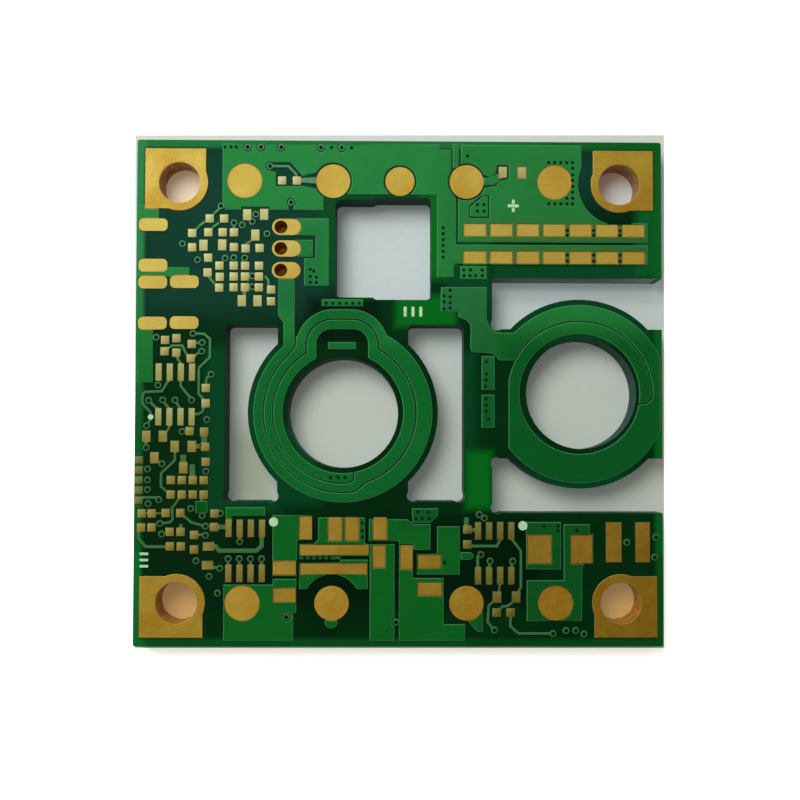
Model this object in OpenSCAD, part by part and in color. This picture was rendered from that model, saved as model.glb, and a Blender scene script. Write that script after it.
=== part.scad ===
// Bare multilayer circuit board of an isolated half-brick power converter.
// X runs to the right and Y up over the component side, Z up out of it. The origin lies under the centre of
// the board, and Z = 0 is the underside of the four plated mounting lands, on which the board lies.

/* [Board] */
// Width of the board along X
board_w = 60.6; // [58:0.1:66]
// Depth of the board along Y
board_d = 58.2; // [57:0.1:64]
// Thickness of the cured laminate between its two outer copper layers
laminate_t = 3.0; // [1:0.1:5]
// Radius of the board's outer corners
corner_r = 0.3; // [0.1:0.1:1.5]

/* [Copper and solder mask] */
// Height of the outer copper, which the gold lands share
copper_t = 0.12; // [0.07:0.01:0.3]
// Thickness of the solder mask film
mask_t = 0.05; // [0.02:0.01:0.1]
// Clear ring between a land and the mask round it
mask_gap = 0.05; // [0.02:0.01:0.12]
// Copper plating on the wall of a hole
plating_t = 0.1; // [0.04:0.01:0.2]
// Diameter of the white marks printed beside the small outlines
mark_d = 1.05; // [0.4:0.05:1.4]
// Thickness of the printed marks
mark_t = 0.03; // [0.01:0.01:0.06]

/* [Mounting holes] */
// Distance between hole centres along X
mount_dx = 50.8; // [49:0.1:52]
// Distance between hole centres along Y
mount_dy = 48.26; // [47:0.01:50]
// Radius of the finished mounting hole
mount_hole_r = 2.35; // [1.2:0.05:2.7]
// Radius of the round lobe of the mounting land
mount_lobe_r = 3.3; // [3:0.05:3.8]
// Reach of the square part of the land towards the board's corner
mount_land_out = 3.95; // [3.4:0.05:4.2]
// Reach of the two lower lands to the left and right
mount_land_low = 4.2; // [3.4:0.05:4.4]
// Reach of the square part of the land towards the board's middle
mount_land_in = 3.05; // [2.8:0.05:3.2]

/* [Core posts and windows] */
// Radius of the hole for a core's round centre post
post_hole_r = 6.35; // [4:0.05:6.6]
// Outer radius of the laminate ring round a post
ring_r = 10.9; // [10.5:0.05:11.2]
// Outer radius of the copper turns round a post
winding_out_r = 10.2; // [9.6:0.05:10.4]
// Inner radius of the copper turns round a post
winding_in_r = 7.0; // [6.8:0.05:7.3]
// Width of the groove between two turns
groove_w = 0.3; // [0.15:0.01:0.4]
// Centre of the transformer post from the board's centre, along X
post_a_x = -6.5; // [-7.5:0.1:-6]
// Centre of the transformer post from the board's centre, along Y
post_a_y = -2.4; // [-3:0.1:-2]
// Centre of the inductor post from the board's centre, along X
post_b_x = 20.7; // [20:0.1:21.5]
// Centre of the inductor post from the board's centre, along Y
post_b_y = -0.15; // [-0.6:0.05:0.4]
// Length along Y of the windows for the transformer core's outer legs
leg_window_d = 20.3; // [18:0.1:21]
// Width along X of the outer leg window on the left
left_window_w = 6.0; // [5:0.1:6.5]
// Width along X of the outer leg window on the right
middle_window_w = 6.4; // [5:0.1:6.8]
// Distance from the post to the near side of a leg window
leg_window_in = 7.5; // [7.2:0.1:8]
// Distance from the inductor post to the near side of its leg slots
leg_slot_in = 7.45; // [7:0.05:8]
// Length along Y of the upper leg slot
upper_slot_d = 5.9; // [4:0.1:6]
// Length along Y of the lower leg slot
lower_slot_d = 6.25; // [4:0.1:6.4]
// Width of the bridge between the middle window and the leg slots
bridge_w = 3.25; // [2:0.05:3.6]
// Width of the window above the transformer
top_window_w = 11.0; // [8:0.1:11.2]
// Depth of the window above the transformer
top_window_d = 11.55; // [8:0.05:11.8]
// Right side of the window above the transformer
top_window_right = 3.6; // [3:0.1:3.8]
// Lower side of the window above the transformer
top_window_low = 10.65; // [10.5:0.05:11.5]
// Radius in the corners of the windows
window_r = 0.6; // [0.3:0.05:0.9]
// Radius of the cutter's relief in the corners where a core leg stands
relief_r = 0.75; // [0.4:0.05:1]

/* [Pin lands] */
// Radius of a main round pin land
pin_land_r = 1.97; // [1.2:0.01:2.1]
// Radius of the smaller round land in the middle of the output row
sense_land_r = 1.7; // [1:0.05:1.9]
// Distance of the inner pin lands from the board's middle
pin_in = 7.7; // [7.4:0.05:8]
// Distance of the outer pin lands from the board's middle
pin_out = 17.9; // [17.5:0.05:18.1]
// Height of the output row above the board's middle
output_y = 24.35; // [24:0.05:24.6]
// Depth of the input row below the board's middle
input_y = 24.15; // [24:0.05:24.3]
// Clear ring in the copper round an isolated pin land
moat_w = 0.27; // [0.15:0.01:0.4]
// Radius of the copper clearance round the second input land
input_clear_r = 3.35; // [2.6:0.05:3.5]
// Radius of the copper clearance round a mounting hole in the output copper
mount_clear_r = 4.85; // [4:0.05:5.2]

/* [Terminal holes] */
// Distance between two terminal holes
terminal_pitch = 2.5; // [2.3:0.05:2.8]
// Radius of a finished terminal hole
terminal_hole_r = 0.72; // [0.3:0.01:0.8]
// Length of a terminal land
terminal_land_l = 3.35; // [2.6:0.05:3.6]
// Width of a terminal land
terminal_land_w = 1.95; // [1.9:0.05:2.2]
// Place of the terminal holes along X
terminal_x = -13.7; // [-14:0.1:-13.5]
// Place of the middle terminal hole along Y
terminal_y = 16.5; // [16.3:0.1:16.7]

/* [Component lands] */
// Side of a small chip land
chip_s = 0.95; // [0.6:0.05:1]
// Narrow side of a large chip land
chip_w = 1.02; // [0.7:0.01:1.05]
// Long side of a large chip land
chip_l = 1.28; // [0.9:0.02:1.3]
// Pitch of the eight-lead outlines
so_pitch = 1.27; // [1.2:0.01:1.3]
// Distance between the two rows of an eight-lead outline
so_rows = 5.12; // [4.9:0.02:5.3]
// Width of a lead land
so_land_w = 0.73; // [0.5:0.01:0.8]
// Length of a lead land
so_land_l = 2.0; // [1.4:0.05:2.1]
// Number of lands in a rail row
rail_count = 7; // [4:1:7]
// Pitch of the rail lands
rail_pitch = 3.06; // [2.7:0.02:3.1]
// Width of a rail land
rail_land_w = 2.58; // [1.6:0.02:2.6]
// Depth of a rail land
rail_land_d = 1.42; // [1:0.02:1.46]
// Length of an oblong edge land
edge_land_l = 3.3; // [2.4:0.05:3.4]
// Width of an oblong edge land
edge_land_w = 1.46; // [1:0.02:1.6]
// Pitch of the five lands at the left edge
side_pitch = 1.15; // [1.05:0.01:1.25]
// Width of a signal trace
trace_w = 0.24; // [0.15:0.01:0.3]

/* [Hidden] */

// Heights of the layers
z_low = copper_t;
z_top = z_low + laminate_t;
film_h = copper_t + mask_t;
// Sides of the board
left = -board_w / 2;
right = board_w / 2;
top = board_d / 2;
bottom = -board_d / 2;
// Copper stays this far inside the outline
edge_keep = 0.3;
// Rounds
big_fn = 96;
mid_fn = 40;
small_fn = 16;
// Overshoot of a cut
cut = 1;

gold = [0.80, 0.62, 0.25];
copper_tone = [0.72, 0.45, 0.22];
mask_tone = [0.05, 0.35, 0.16];
resin_tone = [0.55, 0.62, 0.38];
ink_tone = [0.85, 0.93, 0.87];

post_a = [post_a_x, post_a_y];
post_b = [post_b_x, post_b_y];
mount_x = mount_dx / 2;
mount_y = mount_dy / 2;
corners = [[-1, 1], [1, 1], [-1, -1], [1, -1]];
output_pins = [[-pin_out, output_y], [-pin_in, output_y], [0, output_y], [pin_in, output_y],
    [pin_out, output_y]];
input_pins = [[-pin_out, -input_y], [-pin_in, -input_y], [pin_in, -input_y], [pin_out, -input_y]];

// Windows
window_low = post_a_y - leg_window_d / 2;
window_high = post_a_y + leg_window_d / 2;
left_window_x = post_a_x - leg_window_in - left_window_w;
middle_window_x = post_a_x + leg_window_in;
bridge_x = middle_window_x + middle_window_w;
slot_x = bridge_x + bridge_w;
slot_high = post_b_y + leg_slot_in;
slot_low = post_b_y - leg_slot_in;
top_window_left = top_window_right - top_window_w;
top_window_high = top_window_low + top_window_d;
// The left part of the top window is cut this much shorter at each end
top_window_step = 0.25;
top_window_step_x = -3.2;

// Rail rows and the outline of the copper round them
rail_x = 8.67;
rail_upper_y = 18.75;
rail_lower_y = 15.57;
rail_end_x = rail_x + (rail_count - 1) * rail_pitch + rail_land_w / 2 + 0.3;
rail_gap_y = (rail_upper_y + rail_lower_y) / 2 + 0.05;
rail_gap_w = 0.46;

// Turns: radii of the grooves round the transformer post, from the outside in, and their ends in degrees
turn_w = (winding_out_r - winding_in_r) / 3;
groove_r1 = winding_out_r - turn_w;
groove_r2 = winding_out_r - 1.7 * turn_w;
groove_r3 = winding_in_r + turn_w;
// The single groove of the inductor
groove_rb = winding_in_r + 1.3 * turn_w;
// The arch that lifts the turns over the row of vias at the ring's upper side
arch_w = 10.55;
arch_h = 11.85;
arch_r = 4.3;
arch_in_w = 6.1;
arch_in_h = 9.7;
arch_in_r = 1.8;
arch_shift = -0.1;
lead_l = post_a_x - 7.4;
lead_w = 1.75;

// Places of the chip lands, from the board's middle: the small, the tall and the wide ones of each group
chips_upper_left = [[-21.9, 19.95], [-20.25, 19.95], [-23.9, 18.25], [-22.05, 18.35], [-20.4, 18.35], [-19.1, 18.35],
    [-23.9, 16.6], [-19.1, 16.65], [-17.75, 16.5], [-16.15, 16.55], [-22.05, 15.4], [-22.1, 13.7], [-20.75, 14.5],
    [-20.7, 13.2], [-20.75, 11.95], [-14.8, 11.75], [-14.8, 10.4],
    for (x = [-19.1, -17.8, -16.2], y = [14.5, 13.25, 12.0]) [x, y]];
tall_upper_left = [[-22.6, 16.85], [-20.45, 16.9], [-17.6, 20.4], [-15.65, 20.45], [-16.65, 18.05], [-18.15, 10.45],
    [-16.35, 10.45]];
chips_left = [[-26.9, 5.9], [-25.6, 6.1], [-23.85, 5.45], [-26.95, 4.6], [-25.6, 4.45], [-23.95, 3.8], [-22.2, 0.4],
    [-22.2, -1.35]];
chips_lower_left = [[-24, -4.55], [-22.35, -4.6], [-22.2, -6.35], [-22.15, -8.05], [-21.1, -13.95], [-21.15, -15.5],
    for (x = [-26.1, -24.85, -23.6, -22.35], y = [-10.15, -11.8]) [x, y],
    [-29.4, -13.95], [-28.25, -13.95], [-26.65, -13.9], [-25, -13.9], [-29.45, -15.55], [-28.25, -15.55],
    [-26.2, -16.05], [-24.95, -16.05], [-23.4, -16.4], [-26.15, -17.7], [-24.9, -17.7], [-23.4, -18.05]];
tall_lower_left = [[-28.95, -5.15], [-27.05, -5.15], [-25.7, -6.3], [-23.75, -6.3], [-28, -7.6], [-24.7, -8.75]];
wide_lower_left = [[-21.75, -17.7], [-21.85, -19.85]];
chips_lower_right = [[7.8, -15.75], [7.8, -17.45], [11.15, -25.2], [12.75, -25.2]];
tall_lower_right = [[11.2, -23.45], [13.4, -23.45]];
chips_top = [[-13.6, 24.4], [-11.9, 24.4]];
tall_top = [[11.9, 25.5], [14.1, 25.45]];
// Places of the eight-lead outlines
so_left = [-25.7, -0.35];
so_lower_left = [-17.58, -18.2];
so_lower_right = [10.93, -18.45];
// Power lands: centre and size
switch_list = [[-10.65, -15.6, 1.4, 2.7], [-7.35, -15.7, 1.5, 2.7], [-5.4, -15.7, 1.5, 2.7],
    [-2.2, -15.65, 1.55, 2.6], [-2.3, -18.85, 1.4, 2.6], [0.85, -18.9, 1.45, 2.75]];
bar_list = [[-7.42, -18.07, 7.85, 1.15], [-7.45, -20.25, 7.7, 1.2]];
capacitor_list = [[-13.1, -20.15, 2.7, 1.55], [-13.05, -23.25, 2.6, 1.5], [3.45, -19.4, 2.65, 1.5],
    [3.5, -22.55, 2.75, 1.5]];
diode_list = [[16.05, -18, 2.75, 3.25], [20.93, -18, 2.5, 3.25], [24.6, -17.2, 1.82, 4.6],
    [27.93, -17.2, 1.7, 4.6]];
// Edge lands: distance from the left edge and height
edge_first = [[0.28, 19.2], [0.28, 14.52], [0.28, 12.55], [0.28, 7.84]];
edge_second = [[3.9, 12.62], [3.9, 7.9]];
side_x = 0.1;
side_w = 0.9;
side_h = 0.85;
side_y = -7.85;
// Printed marks beside the eight-lead outlines
mark_list = [[-14.35, -14.9], [14.15, -15.3]];
small_mark = [-28.45, -2.95];
small_mark_d = 0.6;

// Signal traces: the width as a share of trace_w, and the route
traces_left = [
    [1, [[-20.6, 21.25], [-21.5, 20.4]]],
    [1, [[-22.4, 19.6], [-23, 19.15], [-23.5, 18.6]]],
    [1, [[-20.8, 19.45], [-21.6, 18.85]]],
    [1, [[-17.1, 17.4], [-17.7, 17]]],
    [1, [[-21.95, 13.2], [-21.2, 12.3]]],
    [1.6, [[-17.85, 11.7], [-17.85, 10.9]]],
    [1, [[-15.5, 13.3], [-15.1, 12.8], [-15.1, 12.1]]],
    [1, [[-23.7, 6.65], [-22.4, 6.6], [-21.75, 6], [-21.75, 3.9], [-23, 2.7], [-23, -0.3], [-22.4, -0.9]]],
    [1, [[-26.5, 4.9], [-26.1, 5.25], [-24.9, 5.25], [-24.6, 4.6], [-24.4, 4.2]]],
    [1, [[-25.6, 4.1], [-25.1, 3.2]]],
    [1, [[-23.5, 5.55], [-22.65, 5.6]]],
    [1, [[-23.55, 4], [-22.85, 4.6]]],
    [1, [[-22.2, 0.8], [-22.1, 1.5], [-21.65, 1.85]]],
    [1, [[-26.35, 1.4], [-27.2, 0], [-29.15, -0.1], [-29.4, -0.4], [-29.4, -1.4], [-28.5, -2.4], [-28.5, -3.3],
        [-28.85, -3.85]]],
    [1, [[-25.06, 1.4], [-25.06, 0.6], [-23.9, -0.8]]],
    [1, [[-28.7, -1.1], [-27.7, -2]]],
    [1, [[-27.1, -1.05], [-26.35, -2]]],
    [1, [[-25.7, -1.05], [-25.06, -2]]],
    [1, [[-22.4, -1.7], [-22.5, -2.3], [-22.95, -2.6], [-23.6, -2.6]]],
    [1, [[-26.7, -4.8], [-26.3, -4.1], [-26.33, -3.7]]],
    [1, [[-25.65, -6.7], [-25.65, -7.9], [-27.2, -9.4], [-27.2, -10.9], [-26.4, -11.6]]],
    [1, [[-25, -12.1], [-25.9, -13.3], [-25.85, -14.7], [-26.2, -15], [-27.4, -15.1]]],
    [1, [[-24.7, -14.2], [-23.7, -15], [-22.7, -15.25], [-22.2, -15.45]]],
    [1, [[-29.5, -12.15], [-27.6, -12.15], [-27.45, -12.4]]],
    [1.5, [[-28.95, -5.5], [-28.95, -6.4]]],
    [1, [[-27.7, -7.9], [-27.1, -8.3]]],
    [2.8, [[-22.35, -4.8], [-22.35, -6.2]]],
    [2, [[-23.5, -6.3], [-22.4, -6.3]]],
    [2.4, [[-23.65, -8.4], [-23.65, -9.9]]],
    [2.6, [[-24.7, -7.3], [-24.7, -8.4]]],
    [1.2, [[-22.55, -12.1], [-22.55, -12.6]]],
    [1.2, [[-29.7, -15.8], [-29.7, -16.8], [-28.9, -17.75], [-26.4, -17.75]]],
    [1.8, [[-21.3, -17.6], [-20.9, -17.75], [-20.5, -18.2], [-16.3, -18.2], [-15.7, -17.7], [-15.68, -16.3]]],
    [1.2, [[-18.2, -16.3], [-18.2, -17.1]]],
    for (n = [0:3]) [1.2, [[-19.485 + n * 1.27, -20], [-19.485 + n * 1.27, -19.15]]],
    [1, [[-21.5, -20], [-20.5, -20.2]]],
    [1, [[-23.1, -16.35], [-22.1, -16.4]]],
    [1.5, [[-24.9, -15.8], [-24.9, -15.2]]],
    [2, [[-21, -15.5], [-19.6, -15.5]]],
    [0.7, [[-29.4, -13.95], [-26.7, -13.95]]],
    [1, [[-19.1, 18.6], [-19.05, 19.4]]]];
traces_right = [
    [1.1, [[8, -17.65], [11.2, -17.65], [11.6, -16.9]]],
    [1, [[12.85, -16.8], [13.95, -18.2], [13.95, -22.3], [13.6, -22.9]]],
    [1.2, [[9.4, -18.6], [9, -18.9], [9, -20.2]]],
    [1.2, [[10.4, -19.3], [10.3, -20.2]]],
    [1.2, [[12.95, -19.3], [12.85, -20.2]]],
    [0.8, [[11.55, -21.9], [11.4, -23]]],
    [1, [[13, -24], [12.5, -24.45], [11.8, -24.55], [11.5, -24.9]]],
    [1, [[10.8, -23.9], [10.25, -24.5], [10.15, -26.3], [10.85, -27.2]]],
    [1, [[12.75, -25.4], [12.75, -26.8], [13.7, -27.6], [17.4, -27.6]]],
    [2, [[7.7, -14.4], [7.7, -15.4]]],
    [1.6, [[8, -15.8], [8.9, -15.8]]],
    [2.4, [[6.45, 28.7], [6.45, 26]]]];
// Places of the vias that stand alone, with their ring raised under the mask
vias = [[-25, 17], [-19.1, 19.45], [-18.15, 19.2], [-16.6, 20.45], [-17, 19.6], [-20.1, 15.35],
    [-19.1, 15.4], [-17.85, 15.4], [-23.25, 15.15], [-16.95, 13.3], [-16.95, 12.05], [-15.3, 18.2],
    [-20.6, 21.4], [-27.9, 6.2], [-22.65, 5.6], [-22.7, 4.6], [-23.7, 6.65], [-21.6, 1.95], [-27.65, 0.7],
    [-28.7, -1.05], [-27.1, -1], [-25.7, -1], [-23.8, -1], [-22.05, -3.25], [-28.9, -3.95],
    [-24.85, -4.6], [-28.95, -6.45], [-27.1, -8.3], [-22.1, -9.15], [-28.75, -8.9], [-28.75, -10.15],
    [-28.75, -11.25], [-27.45, -12.4], [-28.65, -12.85], [-23.8, -13.4], [-22.5, -14.2], [-20.4, -13.95],
    [-27.1, -16.3], [-27.3, -15.1], [-22.1, -16.45], [-22.1, -15.4], [-23.15, -19.35], [-21.65, -21.1],
    [-20.7, -23], [-20.45, -20.2], [-18.2, -17.15], for (n = [0:3]) [-19.5 + n * 1.27, -19.1],
    [-15, 26.05], [-12.55, 21.85], for (x = [-17.6, -16.05, -13.7, -9.15, -6.75]) [x, 28.25],
    [-12.85, -25.7], [-0.35, -26.3], [9.15, -14.05], [9.75, -14.45], [9.35, -18.6], [10.4, -19.35],
    [13, -19.35], [10.9, -27.2], [17.6, -27.6], [19.1, -27.25], [20.2, -27.25], [21.15, -27.65],
    [26.1, -17.2], [29.45, -16.6], [29.3, -18.9]];
via_r = 0.37;
via_hole_r = 0.15;
// Clear ring round a via that stands in a copper field
via_clear_r = 0.58;
// The trace inside the cut-out of the output copper
trace_top = [[-15, 26.05], [-12.85, 26.05], [-11.95, 25.1], [-11.9, 24.5]];

function unit(v) = v / norm(v);
// Right-hand normal, which points out of an outline that runs anticlockwise
function side(v) = [v.y, -v.x];
function mitre(b, n, m, d) = b + (n + m) * d / (1 + n * m);
// An anticlockwise outline moved out by g, with its corners kept sharp
function grown(p, g) = [for (i = [0:len(p) - 1]) let (
    a = p[(i + len(p) - 1) % len(p)],
    c = p[(i + 1) % len(p)],
    n = side(unit(p[i] - a)),
    m = side(unit(c - p[i])))
    mitre(p[i], n, m, g)];
// One flank of a path, d to its right
function flank(p, d, g) = let (last = len(p) - 1) [for (i = [0:last]) let (
    u = unit(p[max(i, 1)] - p[max(i, 1) - 1]),
    v = unit(p[min(i, last - 1) + 1] - p[min(i, last - 1)]),
    ends = (i == 0 ? -g * u : [0, 0]) + (i == last ? g * v : [0, 0]))
    mitre(p[i], side(u), side(v), d) + ends];
function reversed(p) = [for (i = [len(p) - 1:-1:0]) p[i]];
// Outline of a path of width w, grown by g on all sides
function stroke(p, w, g) = concat(flank(p, w / 2 + g, g), reversed(flank(p, -w / 2 - g, g)));
function polar(c, r, a) = c + r * [cos(a), sin(a)];

module outline(p, g = 0) {
    polygon(grown(p, g));
}
// A rectangle between two corners, grown by g
module field(x0, y0, x1, y1, g = 0) {
    translate([x0 - g, y0 - g]) square([x1 - x0 + 2 * g, y1 - y0 + 2 * g]);
}
// A rectangle about a centre
module land(c, w, h, g = 0) {
    translate([c.x - w / 2 - g, c.y - h / 2 - g]) square([w + 2 * g, h + 2 * g]);
}
module disc(c, r, fn = mid_fn) {
    translate([c.x, c.y]) circle(r, $fn = fn);
}
// A rectangle with round corners of radius r
module rounded(x0, y0, x1, y1, r, fn = small_fn) {
    field(x0 + r, y0, x1 - r, y1);
    field(x0, y0 + r, x1, y1 - r);
    for (x = [x0 + r, x1 - r], y = [y0 + r, y1 - r]) disc([x, y], r, fn);
}
// A land that stands at the board's edge: its ends are rounded, and flat in their middle
module edge_land(c, g = 0) {
    rounded(c.x - edge_land_l / 2 - g, c.y - edge_land_w / 2 - g, c.x + edge_land_l / 2 + g,
        c.y + edge_land_w / 2 + g, edge_land_w * 0.38 + g);
}
// An oblong with round ends that lies along X
module oblong(c, l, w, g = 0) {
    land(c, l - w, w, g);
    for (s = [-1, 1]) disc([c.x + s * (l - w) / 2, c.y], w / 2 + g, mid_fn);
}
// A fan from angle a to angle b, wide enough to cut any ring
module fan(c, a, b) {
    steps = max(1, ceil((b - a) / 30));
    polygon([c, for (n = [0:steps]) polar(c, 2 * ring_r, a + (b - a) * n / steps)]);
}
module arc_groove(c, r, a, b, w) {
    intersection() {
        difference() {
            disc(c, r + w / 2, big_fn);
            disc(c, r - w / 2, big_fn);
        }
        fan(c, a, b);
    }
}

// The board's outline with its windows and slots
module windows_2d() {
    // Transformer: two leg windows that follow the ring round the post
    difference() {
        union() {
            rounded(left_window_x, window_low, post_a_x - leg_window_in, window_high, window_r);
            rounded(middle_window_x, window_low, bridge_x, window_high, window_r);
            for (x = [left_window_x + window_r, post_a_x - leg_window_in - window_r,
                middle_window_x + window_r, bridge_x - window_r])
                disc([x, window_low + window_r], relief_r, small_fn);
        }
        disc(post_a, ring_r, big_fn);
    }
    // Inductor: two leg slots that are open at the right edge
    difference() {
        union() {
            field(slot_x, slot_high, right + cut, slot_high + upper_slot_d);
            field(slot_x, slot_low - lower_slot_d, right + cut, slot_low);
            disc([slot_x + window_r, slot_high + window_r], relief_r, small_fn);
            for (y = [slot_low - window_r, slot_low - lower_slot_d + window_r])
                disc([slot_x + window_r, y], relief_r, small_fn);
        }
        disc(post_b, ring_r, big_fn);
    }
    // Window above the transformer, a little shorter in its left part
    rounded(top_window_left, top_window_low + top_window_step, top_window_right,
        top_window_high - top_window_step, window_r);
    rounded(top_window_step_x, top_window_low, top_window_right, top_window_high, window_r);
    for (c = [post_a, post_b]) disc(c, post_hole_r, big_fn);
}
module board_2d() {
    difference() {
        rounded(left, bottom, right, top, corner_r);
        windows_2d();
    }
}
module holes_2d(grow) {
    for (s = corners) disc([s.x * mount_x, s.y * mount_y], mount_hole_r + grow, mid_fn);
    for (n = [-1:1]) disc([terminal_x, terminal_y + n * terminal_pitch], terminal_hole_r + grow, 24);
}

// Lands, each set as an outline that can be grown
module mounting_2d(s, g = 0) {
    c = [s.x * mount_x, s.y * mount_y];
    out = [c.x + s.x * (s.y < 0 ? mount_land_low : mount_land_out), c.y + s.y * mount_land_out];
    // Two overlapping rectangles leave the corner towards the board's middle to the round lobe
    field(min(out.x, c.x), min(out.y, c.y - s.y * mount_land_in), max(out.x, c.x),
        max(out.y, c.y - s.y * mount_land_in), g);
    field(min(out.x, c.x - s.x * mount_land_in), min(out.y, c.y), max(out.x, c.x - s.x * mount_land_in),
        max(out.y, c.y), g);
    disc(c, mount_lobe_r + g, mid_fn);
}
module terminal_2d(n, g = 0) {
    oblong([terminal_x + terminal_land_l / 2 - 1.05, terminal_y + n * terminal_pitch], terminal_land_l,
        terminal_land_w, g);
}
module pin_2d(c, r, g = 0) {
    disc(c, r + g, mid_fn);
}
module output_pin_2d(n, g = 0) {
    pin_2d(output_pins[n - 1], n == 3 ? sense_land_r : pin_land_r, g);
}
module input_pin_2d(n, g = 0) {
    pin_2d(input_pins[n - 1], pin_land_r, g);
}
module rail_2d(y, g = 0) {
    for (n = [0:rail_count - 1]) land([rail_x + n * rail_pitch, y], rail_land_w, rail_land_d, g);
}
module edge_2d(g = 0) {
    for (p = concat(edge_first, edge_second))
        edge_land([left + p.x + edge_land_l / 2, p.y], g);
}
module side_2d(g = 0) {
    for (n = [0:4]) land([left + side_x + side_w / 2, side_y - n * side_pitch], side_w, side_h, g);
}
module so_2d(c, g = 0) {
    for (n = [-1.5:1.5], s = [-1, 1])
        land([c.x + n * so_pitch, c.y + s * so_rows / 2], so_land_w, so_land_l, g);
}
module lands_2d(list, w, h, g = 0) {
    for (p = list) land(p, w, h, g);
}
module sized_2d(list, g = 0) {
    for (p = list) land([p[0], p[1]], p[2], p[3], g);
}
module chips_top_2d(g = 0) {
    lands_2d(chips_top, chip_s, chip_s, g);
    lands_2d(tall_top, chip_w, chip_l, g);
}
module chips_upper_left_2d(g = 0) {
    lands_2d(chips_upper_left, chip_s, chip_s, g);
    lands_2d(tall_upper_left, chip_w, chip_l, g);
}
module chips_left_2d(g = 0) {
    lands_2d(chips_left, chip_s, chip_s, g);
}
module chips_lower_left_2d(g = 0) {
    lands_2d(chips_lower_left, chip_s, chip_s, g);
    lands_2d(tall_lower_left, chip_w, chip_l, g);
    lands_2d(wide_lower_left, chip_l, chip_w, g);
}
module chips_lower_right_2d(g = 0) {
    lands_2d(chips_lower_right, chip_s, chip_s, g);
    lands_2d(tall_lower_right, chip_w, chip_l, g);
}
module all_lands_2d(g = 0) {
    for (s = corners) mounting_2d(s, g);
    for (n = [-1:1]) terminal_2d(n, g);
    for (n = [1:5]) output_pin_2d(n, g);
    for (n = [1:4]) input_pin_2d(n, g);
    for (y = [rail_upper_y, rail_lower_y]) rail_2d(y, g);
    edge_2d(g);
    side_2d(g);
    for (c = [so_left, so_lower_left, so_lower_right]) so_2d(c, g);
    chips_top_2d(g);
    chips_upper_left_2d(g);
    chips_left_2d(g);
    chips_lower_left_2d(g);
    chips_lower_right_2d(g);
    for (list = [switch_list, bar_list, capacitor_list, diode_list]) sized_2d(list, g);
}

// Copper under the mask
module arch_2d(w, h, r, low) {
    rounded(post_a_x + arch_shift - w / 2, low, post_a_x + arch_shift + w / 2, post_a_y + h, r, mid_fn);
}
module transformer_grooves_2d(w) {
    start = [lead_l + lead_w + groove_w / 2, post_a_y + 11];
    mid_w = (arch_w + arch_in_w) / 2;
    mid_h = (arch_h + arch_in_h) / 2;
    mid_r = (arch_r + arch_in_r) / 2;
    left_x = post_a_x + arch_shift - mid_w / 2;
    right_x = post_a_x + arch_shift + mid_w / 2;
    arch_y = post_a_y + 7.6;
    arc_groove(post_a, groove_r1, 134, 279, w);
    polygon(stroke([start, [start.x, arch_y], polar(post_a, groove_r1, 134)], w, 0));
    disc(polar(post_a, groove_r1, 134), w / 2, small_fn);
    polygon(stroke([polar(post_a, groove_r1, 278.5), polar(post_a, (groove_r1 + groove_r2) / 2, 283.5),
        polar(post_a, groove_r2, 288.5)], w, 0));
    arc_groove(post_a, groove_r2, 288, 420, w);
    polygon(stroke([polar(post_a, groove_r2, 59), [right_x, arch_y - 0.2], [right_x, arch_y + 0.5]], w, 0));
    difference() {
        arch_2d(mid_w + w, mid_h + w / 2, mid_r + w / 2, post_a_y);
        arch_2d(mid_w - w, mid_h - w / 2, mid_r - w / 2, post_a_y - cut);
        field(post_a_x - ring_r, post_a_y - cut, post_a_x + ring_r, arch_y);
    }
    polygon(stroke([[left_x, arch_y + 0.5], [left_x, arch_y - 0.5], polar(post_a, groove_r3, 122)], w, 0));
    arc_groove(post_a, groove_r3, 121, 275, w);
    polygon(stroke([polar(post_a, groove_r3, 274.5), polar(post_a, groove_r3 - 0.25, 279),
        polar(post_a, winding_in_r - 0.4, 281)], w, 0));
}
module transformer_2d(g = 0) {
    difference() {
        union() {
            disc(post_a, winding_out_r + g, big_fn);
            arch_2d(arch_w + 2 * g, arch_h + g, arch_r + g, post_a_y);
            outline([[lead_l, terminal_y - terminal_pitch], [lead_l, 8.8], [lead_l + 0.6, 8],
                [lead_l + 0.65, post_a_y + 6], [lead_l + lead_w, post_a_y + 6],
                [lead_l + lead_w, terminal_y - terminal_pitch]], g);
        }
        disc(post_a, winding_in_r - g, big_fn);
        arch_2d(arch_in_w - 2 * g, arch_in_h - g, arch_in_r - g, post_a_y);
        transformer_grooves_2d(groove_w - 2 * g);
    }
}
module inductor_2d(g = 0) {
    flat_x = post_b_x - winding_in_r - 1.1;
    difference() {
        union() {
            intersection() {
                disc(post_b, winding_out_r + g, big_fn);
                field(flat_x, post_b_y - ring_r, right - edge_keep, post_b_y + ring_r, g);
            }
            outline([[4.8, 12.05], [4.8, 9.4], [6.85, 9.4], [6.85, 8.7], [7.7, 8.4], [8.2, 7.8], [8.25, 6.8],
                [8.15, 5.4], [8.35, 4.7], [10.7, 4.55], [11.15, 4.2], [11.5, 3.75], [post_b_x - 7.4, 3.75],
                [post_b_x - 4, 6.9], [slot_x + 2.8, slot_high - 0.5], [slot_x + 0.6, slot_high - 0.5],
                [slot_x - 0.2, slot_high], [slot_x - 0.7, slot_high + 1], [slot_x - 0.7, 12.05]], g);
        }
        disc(post_b, winding_in_r - g, big_fn);
        arc_groove(post_b, groove_rb, -4, 153.5, groove_w - 2 * g);
        // The outer corner left of the groove is bare laminate
        intersection() {
            difference() {
                field(flat_x - cut, post_b_y, post_b_x, 3.75 - g);
                disc(post_b, groove_rb - groove_w / 2 + g, big_fn);
            }
            fan(post_b, 150, 180);
        }
        polygon(stroke([polar(post_b, groove_rb, -3), polar(post_b, groove_rb - 0.5, -7.5),
            polar(post_b, winding_in_r - 0.3, -10)], groove_w - 2 * g, 0));
    }
}
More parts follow.
